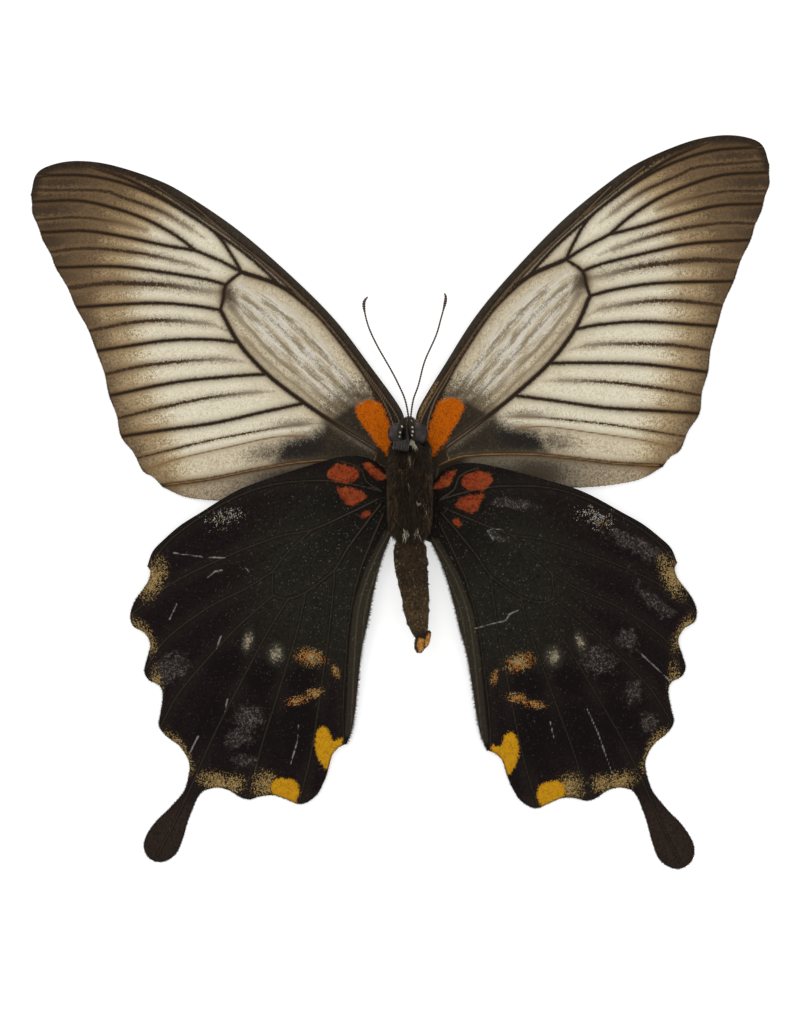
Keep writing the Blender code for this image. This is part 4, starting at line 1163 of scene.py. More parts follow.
# %% Blanks for the body
HEAD_CENTRE = (-0.4, 11.0, 3.95)
ABDOMEN_STATIONS = np.array((
    (-5.2, 1.6, BODY_X), (-6.65, 2.0, -0.2), (-7.6, 2.5, -0.15), (-9.4, 2.7, -0.05),
    (-11.9, 2.5, 0.12), (-14.8, 2.25, 0.6), (-17.7, 2.05, 0.85), (-19.7, 1.7, 1.0),
    (-21.4, 1.3, 1.4), (-22.7, 0.7, 1.75),
))
ABDOMEN_Z = 3.4
ABDOMEN_DEPTH = 0.94
RINGS_FROM = -7.2
RINGS_LONG = 14.6
RINGS = 7
WAIST = -6.5
LOWEST = 0.02
SKIN_CELL = 0.17
SKIN_BALLS = {
    "thorax": (THORAX_CENTRE, THORAX_RADII, THORAX_POWER),
    "neck": ((-0.3, 9.1, 3.75), (1.7, 1.6, 1.7), 2.2),
    "head": ((-0.4, 11.0, 3.95), (1.75, 2.1, 1.6), 2.4),
    "brow": ((-0.35, 12.5, 3.9), (1.1, 0.9, 1.1), 2.2),
    "waist": ((-0.2, -6.3, 3.4), (1.9, 1.5, 1.9), 2.2),
    "chest_left": ((-1.5, 4.2, 5.2), (1.55, 3.4, 1.85), 2.2),
    "chest_right": ((1.1, 4.2, 5.2), (1.55, 3.4, 1.85), 2.2),
    "hip_left": ((-1.7, -2.2, 5.1), (1.4, 3.2, 1.7), 2.2),
    "hip_right": ((1.3, -2.2, 5.1), (1.4, 3.2, 1.7), 2.2),
    "shoulder_left": ((-2.0, 8.0, 2.4), (1.4, 1.8, 1.5), 2.2),
    "shoulder_right": ((1.7, 8.0, 2.4), (1.4, 1.8, 1.5), 2.2),
}


def vertex_places(piece):
    """The place of each vertex, in millimetres."""
    places = np.empty(len(piece.data.vertices) * 3)
    piece.data.vertices.foreach_get("co", places)
    return places.reshape(-1, 3) / MM


def move_vertices(piece, places):
    """Put each vertex where it is told, in millimetres."""
    piece.data.vertices.foreach_set("co", (np.asarray(places) * MM).ravel())
    piece.data.update()


def rounded_blank(name, centre, radii, power=2.0, segments=28, rings=20):
    """A ball with its poles along Y, squared off by a power over 2."""
    unpick()
    bpy.ops.mesh.primitive_uv_sphere_add(segments=segments, ring_count=rings, radius=1.0)
    blank = bpy.context.object
    blank.name = name
    ball = vertex_places(blank) * MM
    ball = ball[:, (0, 2, 1)] * (1, 1, -1)
    reach = (np.abs(ball) ** power).sum(1) ** (-1.0 / power)
    move_vertices(blank, ball * reach[:, None] * radii + centre)
    return blank


def along_abdomen(y):
    """Half width and axis of the abdomen at places along the body."""
    spots = ABDOMEN_STATIONS[::-1]
    return np.interp(y, spots[:, 0], spots[:, 1]), np.interp(y, spots[:, 0], spots[:, 2])


def through_ring(y):
    """How far along its own ring of the abdomen each place lies, from 0 to 1."""
    return np.clip((RINGS_FROM - y) / RINGS_LONG, 0, 0.999) * RINGS % 1.0


print("abdomen of", RINGS, "rings, waist at", WAIST, "mm")

# %% [markdown]
# The blanks overlap. Joining and remeshing turns them into one closed surface with even
# cells, and smoothing melts the seams. A plain union would leave sharp seams instead.

# %% One skin for head, thorax and abdomen
blanks = [rounded_blank(n, *ball) for n, ball in SKIN_BALLS.items()]
belly = rounded_blank("belly", (0, 0, 0), (1, 1, 1), 2.0, 32, 40)
ball = vertex_places(belly)
y = 0.5 - 0.5 * ball[:, 1]
y = ABDOMEN_STATIONS[0, 0] + (ABDOMEN_STATIONS[-1, 0] - ABDOMEN_STATIONS[0, 0]) * y
wide, axis = along_abdomen(y)
around = ball[:, (0, 2)] / np.maximum(np.hypot(ball[:, 0], ball[:, 2]), 1e-6)[:, None]
around[np.abs(ball[:, 1]) > 0.999] = 0
deep = around[:, 1] * wide * ABDOMEN_DEPTH
move_vertices(belly, np.column_stack([axis + around[:, 0] * wide, y, ABDOMEN_Z + deep]))
unpick()
for blank in [*blanks, belly]:
    blank.select_set(True)
bpy.context.view_layer.objects.active = blanks[0]
bpy.ops.object.join()
skin = bpy.context.object
skin.name = "body_skin"
for kind, settings in (("REMESH", {"mode": "VOXEL", "voxel_size": SKIN_CELL * MM}),
                       ("SMOOTH", {"factor": 0.6, "iterations": 9})):
    step = skin.modifiers.new("step", kind)
    for key, value in settings.items():
        setattr(step, key, value)
    bpy.ops.object.modifier_apply(modifier="step")


print("skin joined from", len(blanks) + 1, "blanks")

# %% [markdown]
# Each ring of the abdomen is drawn in towards its rear end. A little noise crumples the
# dried skin, and a groove runs down the middle of the breast.

# %% Rings and creases of the skin
places = vertex_places(skin)
y = places[:, 1]
_, axis = along_abdomen(y)
within = np.where((y < RINGS_FROM) & (y > RINGS_FROM - RINGS_LONG), through_ring(y), 0.0)
shrink = 1 - 0.045 * within ** 3
middle = np.column_stack([axis, y, np.full(len(y), ABDOMEN_Z)])
places = middle + (places - middle) * shrink[:, None]
crumple = np.array([noise.noise(Vector(spot) * 0.9) + 0.5 * noise.noise(Vector(spot) * 2.1)
                    for spot in places])
crumple *= np.where(y < WAIST, 0.08, 0.04)
places = middle + (places - middle) * (1 + crumple)[:, None]
groove = np.exp(-((places[:, 0] - BODY_X) / 0.35) ** 2) * (np.abs(y - 1) < 7) * (places[:, 2] > 4)
places[:, 2] -= 0.35 * groove
places[:, 2] = np.maximum(places[:, 2], LOWEST)
move_vertices(skin, places)
bpy.ops.object.shade_smooth()
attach(skin, "root")
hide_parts("thorax", "head", "abdomen")
print("skin faces:", len(skin.data.polygons))

# %% [markdown]
# The eyes are domes of tiny lenses, dark grey and a little glossy, with a straight inner
# edge against the palps. Each is half a ball pressed into the head. The lenses are far
# finer than the mesh, so a cell pattern in the bump makes them.

# %% Eyes
EYES = {"eye_left": (-1, -1.62, 2.16), "eye_right": (1, 0.55, 2.22)}
EYE_MIDDLE = (10.72, 4.0)
EYE_RADII = (1.8, 1.7)

eye_paint = Paint("eye_lenses", Roughness=0.36, Specular_IOR_Level=0.2)
lens = eye_paint.cells(0.055)
shade = eye_paint.noise(1.2, 2.0)
eye_paint = eye_paint.finish(
    Base_Color=eye_paint.mix(shade.rise(0.35, 0.65), tone(40, 35, 35), tone(67, 59, 57)),
    Normal=eye_paint.bump(1 - lens, 0.012),
)
for name, (side, inner, wide) in EYES.items():
    eye = rounded_blank(name + "_dome", (0, 0, 0), (1, 1, 1), 2.35, 40, 30)
    ball = vertex_places(eye)
    inward = ball[:, 0] * side < 0
    ball[inward, 0] *= 0.12
    move_vertices(eye, ball * (wide, *EYE_RADII) + (inner, *EYE_MIDDLE))
    alone(eye)
    bpy.ops.object.shade_smooth()
    eye.data.materials.append(eye_paint)
    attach(eye, "root")
    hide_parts(name)
print("eyes made")

# %% [markdown]
# Feelers, legs, palps and the tongue are stems that bend and taper. Each is a curve with
# a round section and its own thickness at each point, turned into a mesh. The feelers are
# beaded: some sixty joints, drawn in between, and a club at the tip.

# %% Stems
def above(centre, radii, power, x, y, lift):
    """The point a lift away, square to it, from the upper face of a blunt ball."""
    u, v = (x - centre[0]) / radii[0], (y - centre[1]) / radii[1]
    w = max(0.02, 1.0 - abs(u) ** power - abs(v) ** power) ** (1.0 / power)
    slope = [math.copysign(abs(s) ** (power - 1.0), s) / r for s, r in zip((u, v, w), radii)]
    return Vector((x, y, centre[2] + radii[2] * w)) + Vector(slope).normalized() * lift


def stem(name, points, radii, node, sides=3):
    """A round stem through the points, each with its own half thickness."""
    curve = bpy.data.curves.new(name, "CURVE")
    curve.dimensions = "3D"
    curve.bevel_depth = MM
    curve.bevel_resolution = sides
    curve.use_fill_caps = True
    line = curve.splines.new("POLY")
    line.points.add(len(points) - 1)
    for knot, point, radius in zip(line.points, points, radii):
        knot.co = (*(np.array(point) * MM), 1.0)
        knot.radius = radius
    piece = bpy.data.objects.new(name, curve)
    bpy.context.scene.collection.objects.link(piece)
    alone(piece)
    bpy.ops.object.convert(target="MESH")
    piece = bpy.context.object
    bpy.ops.object.shade_smooth()
    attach(piece, "root")
    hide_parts(node)
    return piece


def resampled(path, count):
    """The same path as a given number of evenly spaced points, and its length."""
    path = np.asarray(path, float)
    run = np.concatenate([[0], np.cumsum(np.linalg.norm(np.diff(path, axis=0), axis=1))])
    spots = np.linspace(0, run[-1], count)
    return np.column_stack([np.interp(spots, run, axis) for axis in path.T]), run[-1]


def nearest_knot(spots, points):
    """Which point of a path each spot is nearest to."""
    return np.argmin(np.linalg.norm(spots[:, None] - points[None], axis=2), axis=1)


def two_tones(name, mark, cloud, spread, edges, first, second, bumps, depth, **constants):
    """A paint of two tones, parted by a number kept on the mesh, with noise at the edge."""
    paint = Paint(name, **constants)
    share = (paint.read(mark) + (paint.noise(*cloud) - 0.5) * spread).rise(*edges)
    return paint.finish(
        Base_Color=paint.mix(share, tone(*first), tone(*second)),
        Normal=paint.bump(paint.noise(*bumps), depth),
    )


print("stems can be built along a path")

# %% [markdown]
# A feeler is a row of joints, each a little thicker than the gaps between them, and it
# swells to a club near its tip. Both rise over the head and sink a little to their tips.

# %% Feelers
ANTENNAE = {
    "antenna_left": ((-0.42, 12.5), (-0.45, 13.6), (-0.98, 16.2), (-2.1, 18.8), (-3.4, 21.3), (-5.4, 24.8),
                     (-6.8, 27.8), (-7.5, 30.4), (-7.6, 32.0), (-7.0, 32.9)),
    "antenna_right": ((-0.1, 12.5), (-0.03, 13.6), (0.36, 16.2), (1.2, 18.6), (2.2, 22.4), (4.0, 26.5),
                      (4.8, 29.2), (5.6, 32.4), (5.4, 33.5)),
}
FEELER_JOINTS = 56
feeler_paint = two_tones(
    "feeler_brown", "bead", (0.5, 2.0), 0.5, (0.4, 0.6), (128, 98, 70), (40, 28, 22), (0.12, 1.0), 0.02,
    Roughness=0.5, Specular_IOR_Level=0.3,
)
for name, way in ANTENNAE.items():
    path, length = resampled(smooth_path(way, 0.4), FEELER_JOINTS * 4 + 1)
    share = np.linspace(0, 1, len(path))
    to_tip = (1 - share) * length
    bead = np.where(np.arange(len(path)) % 4 == 0, 0.72, 1.0)
    swell = np.where(to_tip < 3.4, np.sin(np.pi * np.minimum(1, (to_tip + 0.25) / 3.4)) ** 2, 0)
    radii = (0.15 + 0.13 * swell) * bead
    radii[-3:] = (0.13, 0.1, 0.04)
    height = 3.5 - 0.7 * share
    points = np.column_stack([path, height])
    piece = stem(name + "_feeler", points, radii, name, 2)
    spots = vertex_places(piece)
    nearest = nearest_knot(spots, points)
    keep_number(piece, "bead", np.where(nearest % 4 == 0, 0.0, 1.0))
    piece.data.materials.append(feeler_paint)
print("feelers made")

# %% [markdown]
# The tongue leaves the mouth and is wound up like a watch spring. It lies on its side, so
# the picture shows its turns as a row of bars across the throat.

# %% Tongue, wound up on its side
tongue_paint = two_tones(
    "tongue_grey", "side", (0.3, 2.0), 0.8, (0.45, 0.95), (24, 22, 22), (100, 92, 80), (0.08, 1.0), 0.02,
    Roughness=0.5, Specular_IOR_Level=0.25,
)
TONGUE_TURNS = 5.55
mouth = above(HEAD_CENTRE, (1.6, 2.15, 1.65), 2.3, -0.62, 11.3, 0.02)
points = [tuple(mouth), (-0.6, 10.6, mouth.z + 0.4), (-0.56, 10.0, 6.7)]
for index in range(round(TONGUE_TURNS * 20) + 1):
    share = index / round(TONGUE_TURNS * 20)
    angle = math.radians(50) + share * TONGUE_TURNS * 2.0 * math.pi
    radius = 0.84 - 0.26 * share
    along = -0.5 - 2.4 * share - 0.12 * math.cos(angle) * (share - 0.4)
    points.append((along, 8.72 + radius * math.cos(angle), 7.3 + radius * math.sin(angle)))
radii = np.linspace(0.21, 0.17, len(points))
radii[:3] = (0.42, 0.36, 0.28)
piece = stem("tongue_coil", points, radii, "proboscis")
spots = vertex_places(piece)
points = np.array(points)
nearest = nearest_knot(spots, points)
keep_number(piece, "side", np.abs(spots[:, 0] - points[nearest, 0]) / radii[nearest] * (nearest > 4))
piece.data.materials.append(tongue_paint)
print("tongue:", len(points), "points")

# %% [markdown]
# The palps stand up beside the mouth, thick with scales and dotted with white. Their dots
# are glowing ovals, in the same way as the spots of the wings.

# %% Palps
PALPS = {
    "palp_left": ((-1.85, 10.2), (-1.75, 11.0), (-1.5, 11.9), (-1.2, 12.7)),
    "palp_right": ((0.35, 9.9), (0.2, 10.6), (0.1, 11.4), (-0.1, 12.1), (-0.25, 12.7)),
}
PALP_RADII = (0.3, 0.42, 0.42, 0.26)
PALP_DOTS = ((-1.46, 11.77, 0.2), (-1.79, 10.8, 0.2), (-1.87, 10.15, 0.18), (-1.87, 9.74, 0.15),
             (0.08, 12.67, 0.15), (0.16, 11.69, 0.2), (0.24, 10.96, 0.2), (0.16, 10.39, 0.18))
palp_paint = two_tones(
    "palp_scales", "dots", (0.2, 1.0), 0.6, (0.4, 0.75), (40, 35, 31), (198, 190, 164), (0.15, 2.0), 0.05,
    Roughness=0.8, Specular_IOR_Level=0.1,
)
for name, way in PALPS.items():
    path, _ = resampled(smooth_path(way, 0.2), 15)
    radii = np.interp(np.linspace(0, 3, 15), range(4), PALP_RADII)
    points = [above(HEAD_CENTRE, (3.9, 2.2, 1.76), 2.3, *p, 0.2 + r) for p, r in zip(path, radii)]
    piece = stem(name + "_scaled", points, radii, name)
    spots = vertex_places(piece)[:, :2]
    dots = np.max([glow(spots, (x, y), (r, r)) for x, y, r in PALP_DOTS], axis=0)
    keep_number(piece, "dots", dots)
    piece.data.materials.append(palp_paint)
print("palps made")

# %% [markdown]
# The legs lie folded on the breast. Each is a thin stem that thickens at the knee, with
# a lighter brown along its shins, partly pale scales and partly a painted highlight for the
# legs' gloss, so it shows as a light line on the dark breast.

# %% Legs
LEGS = {
    "foreleg": ((1.0, 5.5, 0.3), (1.0, 6.1, 0.28), (0.92, 6.6, 0.26), (0.67, 6.85, 0.25),
                (0.43, 6.6, 0.25), (0.38, 5.8, 0.24), (0.38, 4.2, 0.22), (0.38, 2.6, 0.2),
                (0.4, 0.6, 0.16)),
    "midleg": ((1.85, 0.8, 0.3), (1.85, 2.6, 0.3), (1.82, 4.0, 0.27), (1.53, 4.35, 0.25),
               (1.24, 4.0, 0.25), (1.2, 2.6, 0.24), (1.2, 0.4, 0.22), (1.15, -1.2, 0.2),
               (0.9, -3.2, 0.16)),
    "hindleg": ((1.95, -3.1, 0.3), (2.25, -1.2, 0.3), (2.42, -0.1, 0.27), (2.75, 0.25, 0.25),
                (3.0, -0.1, 0.25), (2.85, -1.6, 0.24), (2.3, -3.9, 0.22), (1.35, -5.2, 0.2),
                (0.5, -6.1, 0.16)),
}
# Painted highlight: the shins' lighter brown is partly pale scales and partly the legs' gloss painted in.
leg_paint = two_tones(
    "leg_scales", "shin", (0.3, 3.0), 2.4, (0.6, 1.2), (29, 21, 14), (70, 56, 38), (0.14, 2.0), 0.04,
    Roughness=0.85, Specular_IOR_Level=0.04,
)
LEG_SHIFTS = {
    "foreleg_left": (0.05, -0.45), "foreleg_right": (0.16, 0.0), "midleg_left": (-0.08, 0.4),
    "midleg_right": (0.1, -0.25), "hindleg_left": (-0.1, 0.35), "hindleg_right": (0.0, -0.3),
}
for kind, way in LEGS.items():
    for side_name, side in (("left", -1), ("right", 1)):
        path = smooth_path(way, 0.25)
        path[:, :2] += LEG_SHIFTS[f"{kind}_{side_name}"]
        path[:, 0] += 0.1 * np.sin(path[:, 1] * 0.9 + side * 1.3)
        path[:, 2] *= 0.88
        points = [above(THORAX_CENTRE, THORAX_RADII, THORAX_POWER, BODY_X + side * x, y, r - 0.08)
                  for x, y, r in path]
        share = np.linspace(0, 1, len(path))
        foot = 1 + 0.12 * np.sin(share * 40) * (share > 0.7)
        radii = path[:, 2] * np.where(share > 0.75, 0.8, 1.0) * foot
        name = f"{kind}_{side_name}"
        piece = stem(name + "_limb", points, radii, name)
        spots = vertex_places(piece)
        shin = np.interp(spots[:, 1], sorted((way[4][1], way[-1][1])), (0.35, 0.85))
        keep_number(piece, "shin", shin * (np.abs(spots[:, 0] - BODY_X) < abs(way[3][0]) + 0.3))
        piece.data.materials.append(leg_paint)
print("legs made")

# %% [markdown]
# The abdomen ends in two claspers with a golden coat. They are flattened ovals, tucked
# against the last ring, and their golden hair comes with the coat below.

# %% Claspers
GOLD_SHIFT = 0.22
CLASPERS = {
    "valve_left": ((1.45, -23.1, 3.4), (0.8, 1.6, 0.95), -6.0),
    "valve_right": ((2.5, -22.5, 3.45), (0.5, 1.4, 0.8), -14.0),
}
gilt = Paint("clasper_gold", Roughness=0.7, Specular_IOR_Level=0.15)
streak = gilt.noise(0.3, 3.0, (1, 0.35, 1))
gilt_paint = gilt.finish(
    Base_Color=gilt.mix(
        (gilt.read("core") + (streak - 0.5) * 0.7).rise(1.0, 0.6), tone(58, 40, 22),
        gilt.mix(gilt.read("tint").rise(0.15, 0.85), tone(150, 92, 26), tone(244, 196, 112)),
    ),
    Normal=gilt.bump(streak, 0.08),
)


def off_core(places, centre, radii, turn):
    """0 in the gold of a clasper seen from above, right of its middle, and 1 on its rim."""
    flat = turned(places[:, :2] - np.array(centre[:2]) - (GOLD_SHIFT, 0), (0, 0), -math.radians(turn))
    return np.hypot(*(flat / radii[:2]).T)


for name, (centre, radii, turn) in CLASPERS.items():
    piece = rounded_blank(name + "_clasper", (0, 0, 0), radii, 2.2, 24, 18)
    spots = vertex_places(piece)
    spots[:, :2] = turned(spots[:, :2], (0, 0), math.radians(turn))
    spots[:, 2] += 0.08 * np.sin(spots[:, 1] * 4)
    move_vertices(piece, spots + centre)
    keep_number(piece, "core", off_core(spots + centre, centre, radii, turn))
    keep_number(piece, "tint", np.full(len(spots), 0.4))
    alone(piece)
    bpy.ops.object.shade_smooth()
    piece.data.materials.append(gilt_paint)
    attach(piece, "root")
    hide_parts(name)
print("claspers made")

# %% [markdown]
# The body's coat is dark brown, greyer on the breast and olive on the abdomen, with a few
# pale spots. The skin and the hairs share one recipe, so they carry the same markings.

# %% Paint of the body
PALE_MARKS = (
    ((1.0, -0.2), (0.14, 0.2), 0, 0.75), ((2.1, -1.0), (0.2, 0.5), -8, 0.7),
    ((-0.98, -4.9), (0.24, 0.6), 25, 1.0),
    ((1.1, -4.65), (0.2, 0.45), -36, 0.95), ((-0.28, 6.9), (0.26, 0.55), 4, 1.0),
    ((0.1, 9.5), (0.22, 0.3), 0, 1.0),
    ((0.36, 8.9), (0.2, 0.5), -10, 0.95), ((-1.5, 12.2), (0.24, 0.3), 0, 1.0),
    ((-0.4, 2.4), (0.2, 0.4), 10, 0.55), ((-0.1, 1.5), (0.16, 0.3), 0, 0.55),
)


def pale_at(places):
    """How pale the coat is at each place of the underside."""
    flat = places[:, :2]
    return np.max([k * glow(flat, middle, radii, turn) for middle, radii, turn, k in PALE_MARKS], axis=0)


def coat_paint(name, **constants):
    """One recipe for skin and hair."""
    paint = Paint(name, **constants)
    y = paint.node("ShaderNodeSeparateXYZ", {}, {"Vector": paint.place}, "Y") * 1000.0
    speck = paint.noise(0.36, 3.0, (1, 0.3, 1), roughness=0.65)
    cloud = paint.noise(1.8, 3.0)
    belly = y.rise(-5.0, -8.5)
    rear = y.rise(-11.0, -19.0)
    tint = paint.read("tint")
    colour = paint.mix(speck.rise(0.35, 0.7), tone(30, 21, 13), tone(58, 45, 31))
    colour = paint.mix(tint.rise(0.45, 1.0) * 0.8, colour, tone(104, 86, 58))
    grit = paint.noise(0.4, 3.0, roughness=0.7)
    olive = paint.mix(grit.rise(0.35, 0.68), tone(40, 29, 18), tone(80, 61, 38))
    olive = paint.mix(tint.rise(0.45, 1.0) * 0.65, olive, tone(112, 88, 55))
    paler = paint.mix(grit.rise(0.35, 0.7), tone(58, 44, 27), tone(122, 98, 62))
    olive = paint.mix(rear * 0.75, olive, paler)
    olive = paint.mix(paint.read("lone") * 0.8, olive, tone(172, 160, 128))
    colour = paint.mix(belly, colour, olive)
    band = paint.read("band")
    colour = paint.mix(band * 0.3, colour, tone(24, 18, 13))
    colour = paint.mix(y.rise(-20.6, -22.0) * 0.7, colour, tone(32, 25, 18))
    crown = paint.mix(tint, tone(44, 37, 30), tone(128, 113, 90))
    colour = paint.mix(y.rise(10.8, 12.2) * 0.75, colour, crown)
    colour = paint.mix(cloud.rise(0.35, 0.75) * 0.35, colour, tone(22, 17, 13))
    colour = paint.mix((1.0 - paint.read("tip")) * 0.5, colour, tone(20, 15, 12))
    pale = (paint.read("pale") + (speck - 0.5) * 0.5).rise(0.32, 0.6)
    colour = paint.mix(pale * 0.85, colour, tone(190, 183, 158))
    return paint, colour, speck


def body_marks(piece, spots, tint, tip, luck):
    """Keep the pale marks, the ring bands and the lightness of the coat for each vertex."""
    flank = np.clip((np.abs(spots[:, 0] - BODY_X) - 1.6) / 1.4, 0, 1) * (spots[:, 1] > WAIST)
    crown = ease((spots[:, 1] - 11.4) / 1.0)
    half, axis = along_abdomen(spots[:, 1])
    beside = (np.abs(spots[:, 0] - axis) > 0.75 * half) & (spots[:, 1] < WAIST)
    keep_number(piece, "tint", tint * (0.56 + 0.5 * np.maximum(flank, crown)))
    keep_number(piece, "tip", tip)
    keep_number(piece, "lone", (luck > 0.988 - 0.07 * beside) * 1.0)
    keep_number(piece, "pale", pale_at(spots) * (spots[:, 2] > 4.5))
    ring = through_ring(spots[:, 1])
    keep_number(piece, "band", np.where(spots[:, 1] < RINGS_FROM, ring ** 4, 0.0))


skin_paint, colour, speck = coat_paint("body_skin_scales", Roughness=0.75, Specular_IOR_Level=0.1)
skin.data.materials.append(skin_paint.finish(Base_Color=colour, Normal=skin_paint.bump(speck, 0.12)))
body_marks(skin, vertex_places(skin), 0.5, np.full(len(skin.data.vertices), 0.45), 0.0)
print("skin painted")

# %% [markdown]
# Hair stands on the breast, the head and the wing roots, and lies flat on the abdomen.
# One tuft is modelled, a thin curved spike of ten faces, and copied to thousands of
# places, each with its own length, lean and turn. Solid tufts keep their shape in every
# renderer. A hair system would be lost outside Blender.

# %% One tuft, and many of them
def one_tuft():
    """A curved three-sided spike, one unit long, from a cone."""
    unpick()
    bpy.ops.mesh.primitive_cone_add(vertices=3, radius1=1.0, radius2=0.0, depth=1.0, location=(0, 0, 0.5))
    spike = bpy.context.object
    bpy.ops.object.mode_set(mode="EDIT")
    bpy.ops.mesh.select_all(action="SELECT")
    bpy.ops.mesh.bisect(plane_co=(0, 0, 0.5), plane_no=(0, 0, 1))
    bpy.ops.object.mode_set(mode="OBJECT")
    places = np.array([v.co[:] for v in spike.data.vertices]) + (0, 0, 0.5)
    middle = np.abs(places[:, 2] - 0.5) < 0.01
    places[middle, :2] *= 1.5
    faces = [tuple(p.vertices) for p in spike.data.polygons]
    bpy.data.objects.remove(spike, do_unlink=True)
    return places, faces


TUFT, TUFT_FACES = one_tuft()
TUFT_PATCH = 0.0015


def plant(name, places, where, paint):
    """Make one piece of many tufts; where gives each tuft's spot in the map, 0 to 1."""
    total = len(TUFT)
    faces = [tuple(i + k * total for i in f) for k in range(len(places)) for f in TUFT_FACES]
    mesh = bpy.data.meshes.new(name)
    mesh.from_pydata((places.reshape(-1, 3) * MM).tolist(), [], faces)
    piece = bpy.data.objects.new(name, mesh)
    bpy.context.scene.collection.objects.link(piece)
    patch = np.column_stack([TUFT[:, 0], TUFT[:, 2] * 2 - 1]) * TUFT_PATCH
    uv = where[:, None] + patch[None]
    layer = mesh.uv_layers.new(name="OFBake")
    loops = np.empty(len(mesh.loops), int)
    mesh.loops.foreach_get("vertex_index", loops)
    layer.data.foreach_set("uv", uv.reshape(-1, 2)[loops].ravel())
    alone(piece)
    bpy.ops.object.mode_set(mode="EDIT")
    bpy.ops.mesh.select_all(action="SELECT")
    bpy.ops.mesh.normals_make_consistent(inside=False)
    bpy.ops.object.mode_set(mode="OBJECT")
    piece.data.materials.append(paint)
    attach(piece, "root")
    print(name, len(places), "tufts,", len(faces), "faces")
    return piece

# %% [markdown]
# Tufts are rooted at random places of the skin, more where its faces are larger. They
# follow a flow and lean together in clumps, as hair does. Those on the flanks are pressed
# to the body, and none rises over the coat's top or sinks into the floor.

# %% A coat of tufts
COAT_TOP = 8.45
FLANK = 3.4
FLANK_WAVE = 0.5
FLANK_PRESS = 0.4


def backwards(root):
    """Hair that lies towards the tail."""
    return np.array((0.0, -1.0, 0.0)) + 0 * root


def coat(name, base, count, wanted, length, width, lift, seed, paint, sweep=backwards, stray=0.12):
    """Tufts over the wanted part of a base, each rooted in it and swept along the flow."""
    rng = np.random.default_rng(seed)
    mesh = base.data
    mesh.calc_loop_triangles()
    corners = np.array([t.vertices[:] for t in mesh.loop_triangles])
    spots = vertex_places(base)
    a, b, c = (spots[corners[:, k]] for k in range(3))
    cross = np.cross(b - a, c - a)
    area = np.linalg.norm(cross, axis=1) * wanted((a + b + c) / 3)
    pick = rng.choice(len(area), count, p=area / area.sum())
    u, v = rng.random(count), rng.random(count)
    flip = u + v > 1
    u[flip], v[flip] = 1 - u[flip], 1 - v[flip]
    root = a[pick] + (b - a)[pick] * u[:, None] + (c - a)[pick] * v[:, None]
    normal = cross[pick] / np.linalg.norm(cross[pick], axis=1)[:, None]
    clump = np.array([noise.noise_vector(Vector(spot) * 0.8)[:] for spot in root])
    flow = sweep(root) + 0.9 * clump + rng.normal(0, stray, (count, 3))
    flow -= (flow * normal).sum(1)[:, None] * normal
    flow /= np.linalg.norm(flow, axis=1)[:, None]
    rise = lift * (0.6 + 0.8 * rng.random(count))[:, None]
    grow = flow + normal * rise
    grow /= np.linalg.norm(grow, axis=1)[:, None]
    across = np.cross(grow, normal)
    across /= np.linalg.norm(across, axis=1)[:, None]
    thick = np.cross(across, grow)
    size = length * (0.6 + 0.7 * rng.random(count))
    local = TUFT[None]
    bend = (local[..., 2] ** 2)[..., None] * (normal * -0.35 * lift)[:, None]
    places = (
        root[:, None] - 0.06 * normal[:, None]
        + local[..., :1] * width * across[:, None] + local[..., 1:2] * width * 0.5 * thick[:, None]
        + (local[..., 2:3] * grow[:, None] + bend) * size[:, None, None]
    )
    places[..., 2] = np.clip(places[..., 2], LOWEST, COAT_TOP)
    aside = places[..., 0] - BODY_X
    flank = FLANK + FLANK_WAVE * np.abs(clump[:, :1])
    pressed = np.sign(aside) * (flank + (np.abs(aside) - flank) * FLANK_PRESS)
    at_flank = (np.abs(aside) > flank) & (places[..., 1] > WAIST)
    places[..., 0] = np.where(at_flank, BODY_X + pressed, places[..., 0])
    turn = np.arctan2(root[:, 0] - BODY_X, root[:, 2] - 3.5) / (2 * math.pi) * 0.98 + 0.5
    run = (root[:, 1] + 23) / 37.5 * 0.98 + 0.01
    piece = plant(name, places, np.column_stack([turn, run]), paint)
    total = len(TUFT)
    tint = np.clip(rng.random(count) + clump[:, 2] * 0.5, 0, 1)
    body_marks(piece, np.repeat(root, total, axis=0), np.repeat(tint, total), np.tile(TUFT[:, 2], count),
               np.repeat(rng.random(count), total))
    return piece


def off_eyes(places):
    """1 away from the eyes and from the side that rests on the floor."""
    free = np.ones(len(places))
    for side, inner, wide in EYES.values():
        reach = (places - (inner, *EYE_MIDDLE)) / (wide, *EYE_RADII)
        free[((reach ** 2).sum(1) < 1.25) & (reach[:, 0] * side > -0.12)] = 0
    beside = (np.abs(places[:, 0] + 0.6) < 0.38) & (np.abs(places[:, 1] - 10.4) < 1.0)
    free[beside & (places[:, 2] > 4.5)] = 0
    return free


print("coats end at", COAT_TOP, "mm")

# %% [markdown]
# Breast, head and abdomen get their own coats, then the wing roots and the pale marks.
# The claspers' hair is short, golden and stands up.

# %% Coats of the body
hair_paint, colour, speck = coat_paint("body_hair", Roughness=0.7, Specular_IOR_Level=0.15)
hair_paint = hair_paint.finish(Base_Color=colour, Normal=hair_paint.bump(speck, 0.05))
coat("thorax_coat", skin, 6200, lambda p: (p[:, 1] < 9.3) * (p[:, 1] > WAIST) * (p[:, 2] > 0.4) * 1.0,
     1.7, 0.08, 0.45, 3, hair_paint)
coat("head_coat", skin, 1700, lambda p: (p[:, 1] >= 9.0) * (p[:, 2] > 0.4) * off_eyes(p),
     0.6, 0.06, 0.6, 5, hair_paint)
coat("abdomen_coat", skin, 7600, lambda p: (p[:, 1] <= -6.2) * 1.0,
     0.5, 0.085, 0.7, 7, hair_paint, stray=0.3)


def outwards(root):
    """Hair that lies over the wing roots and a little back."""
    return np.column_stack([np.sign(root[:, 0] - BODY_X), np.full(len(root), -0.9), np.zeros(len(root))])


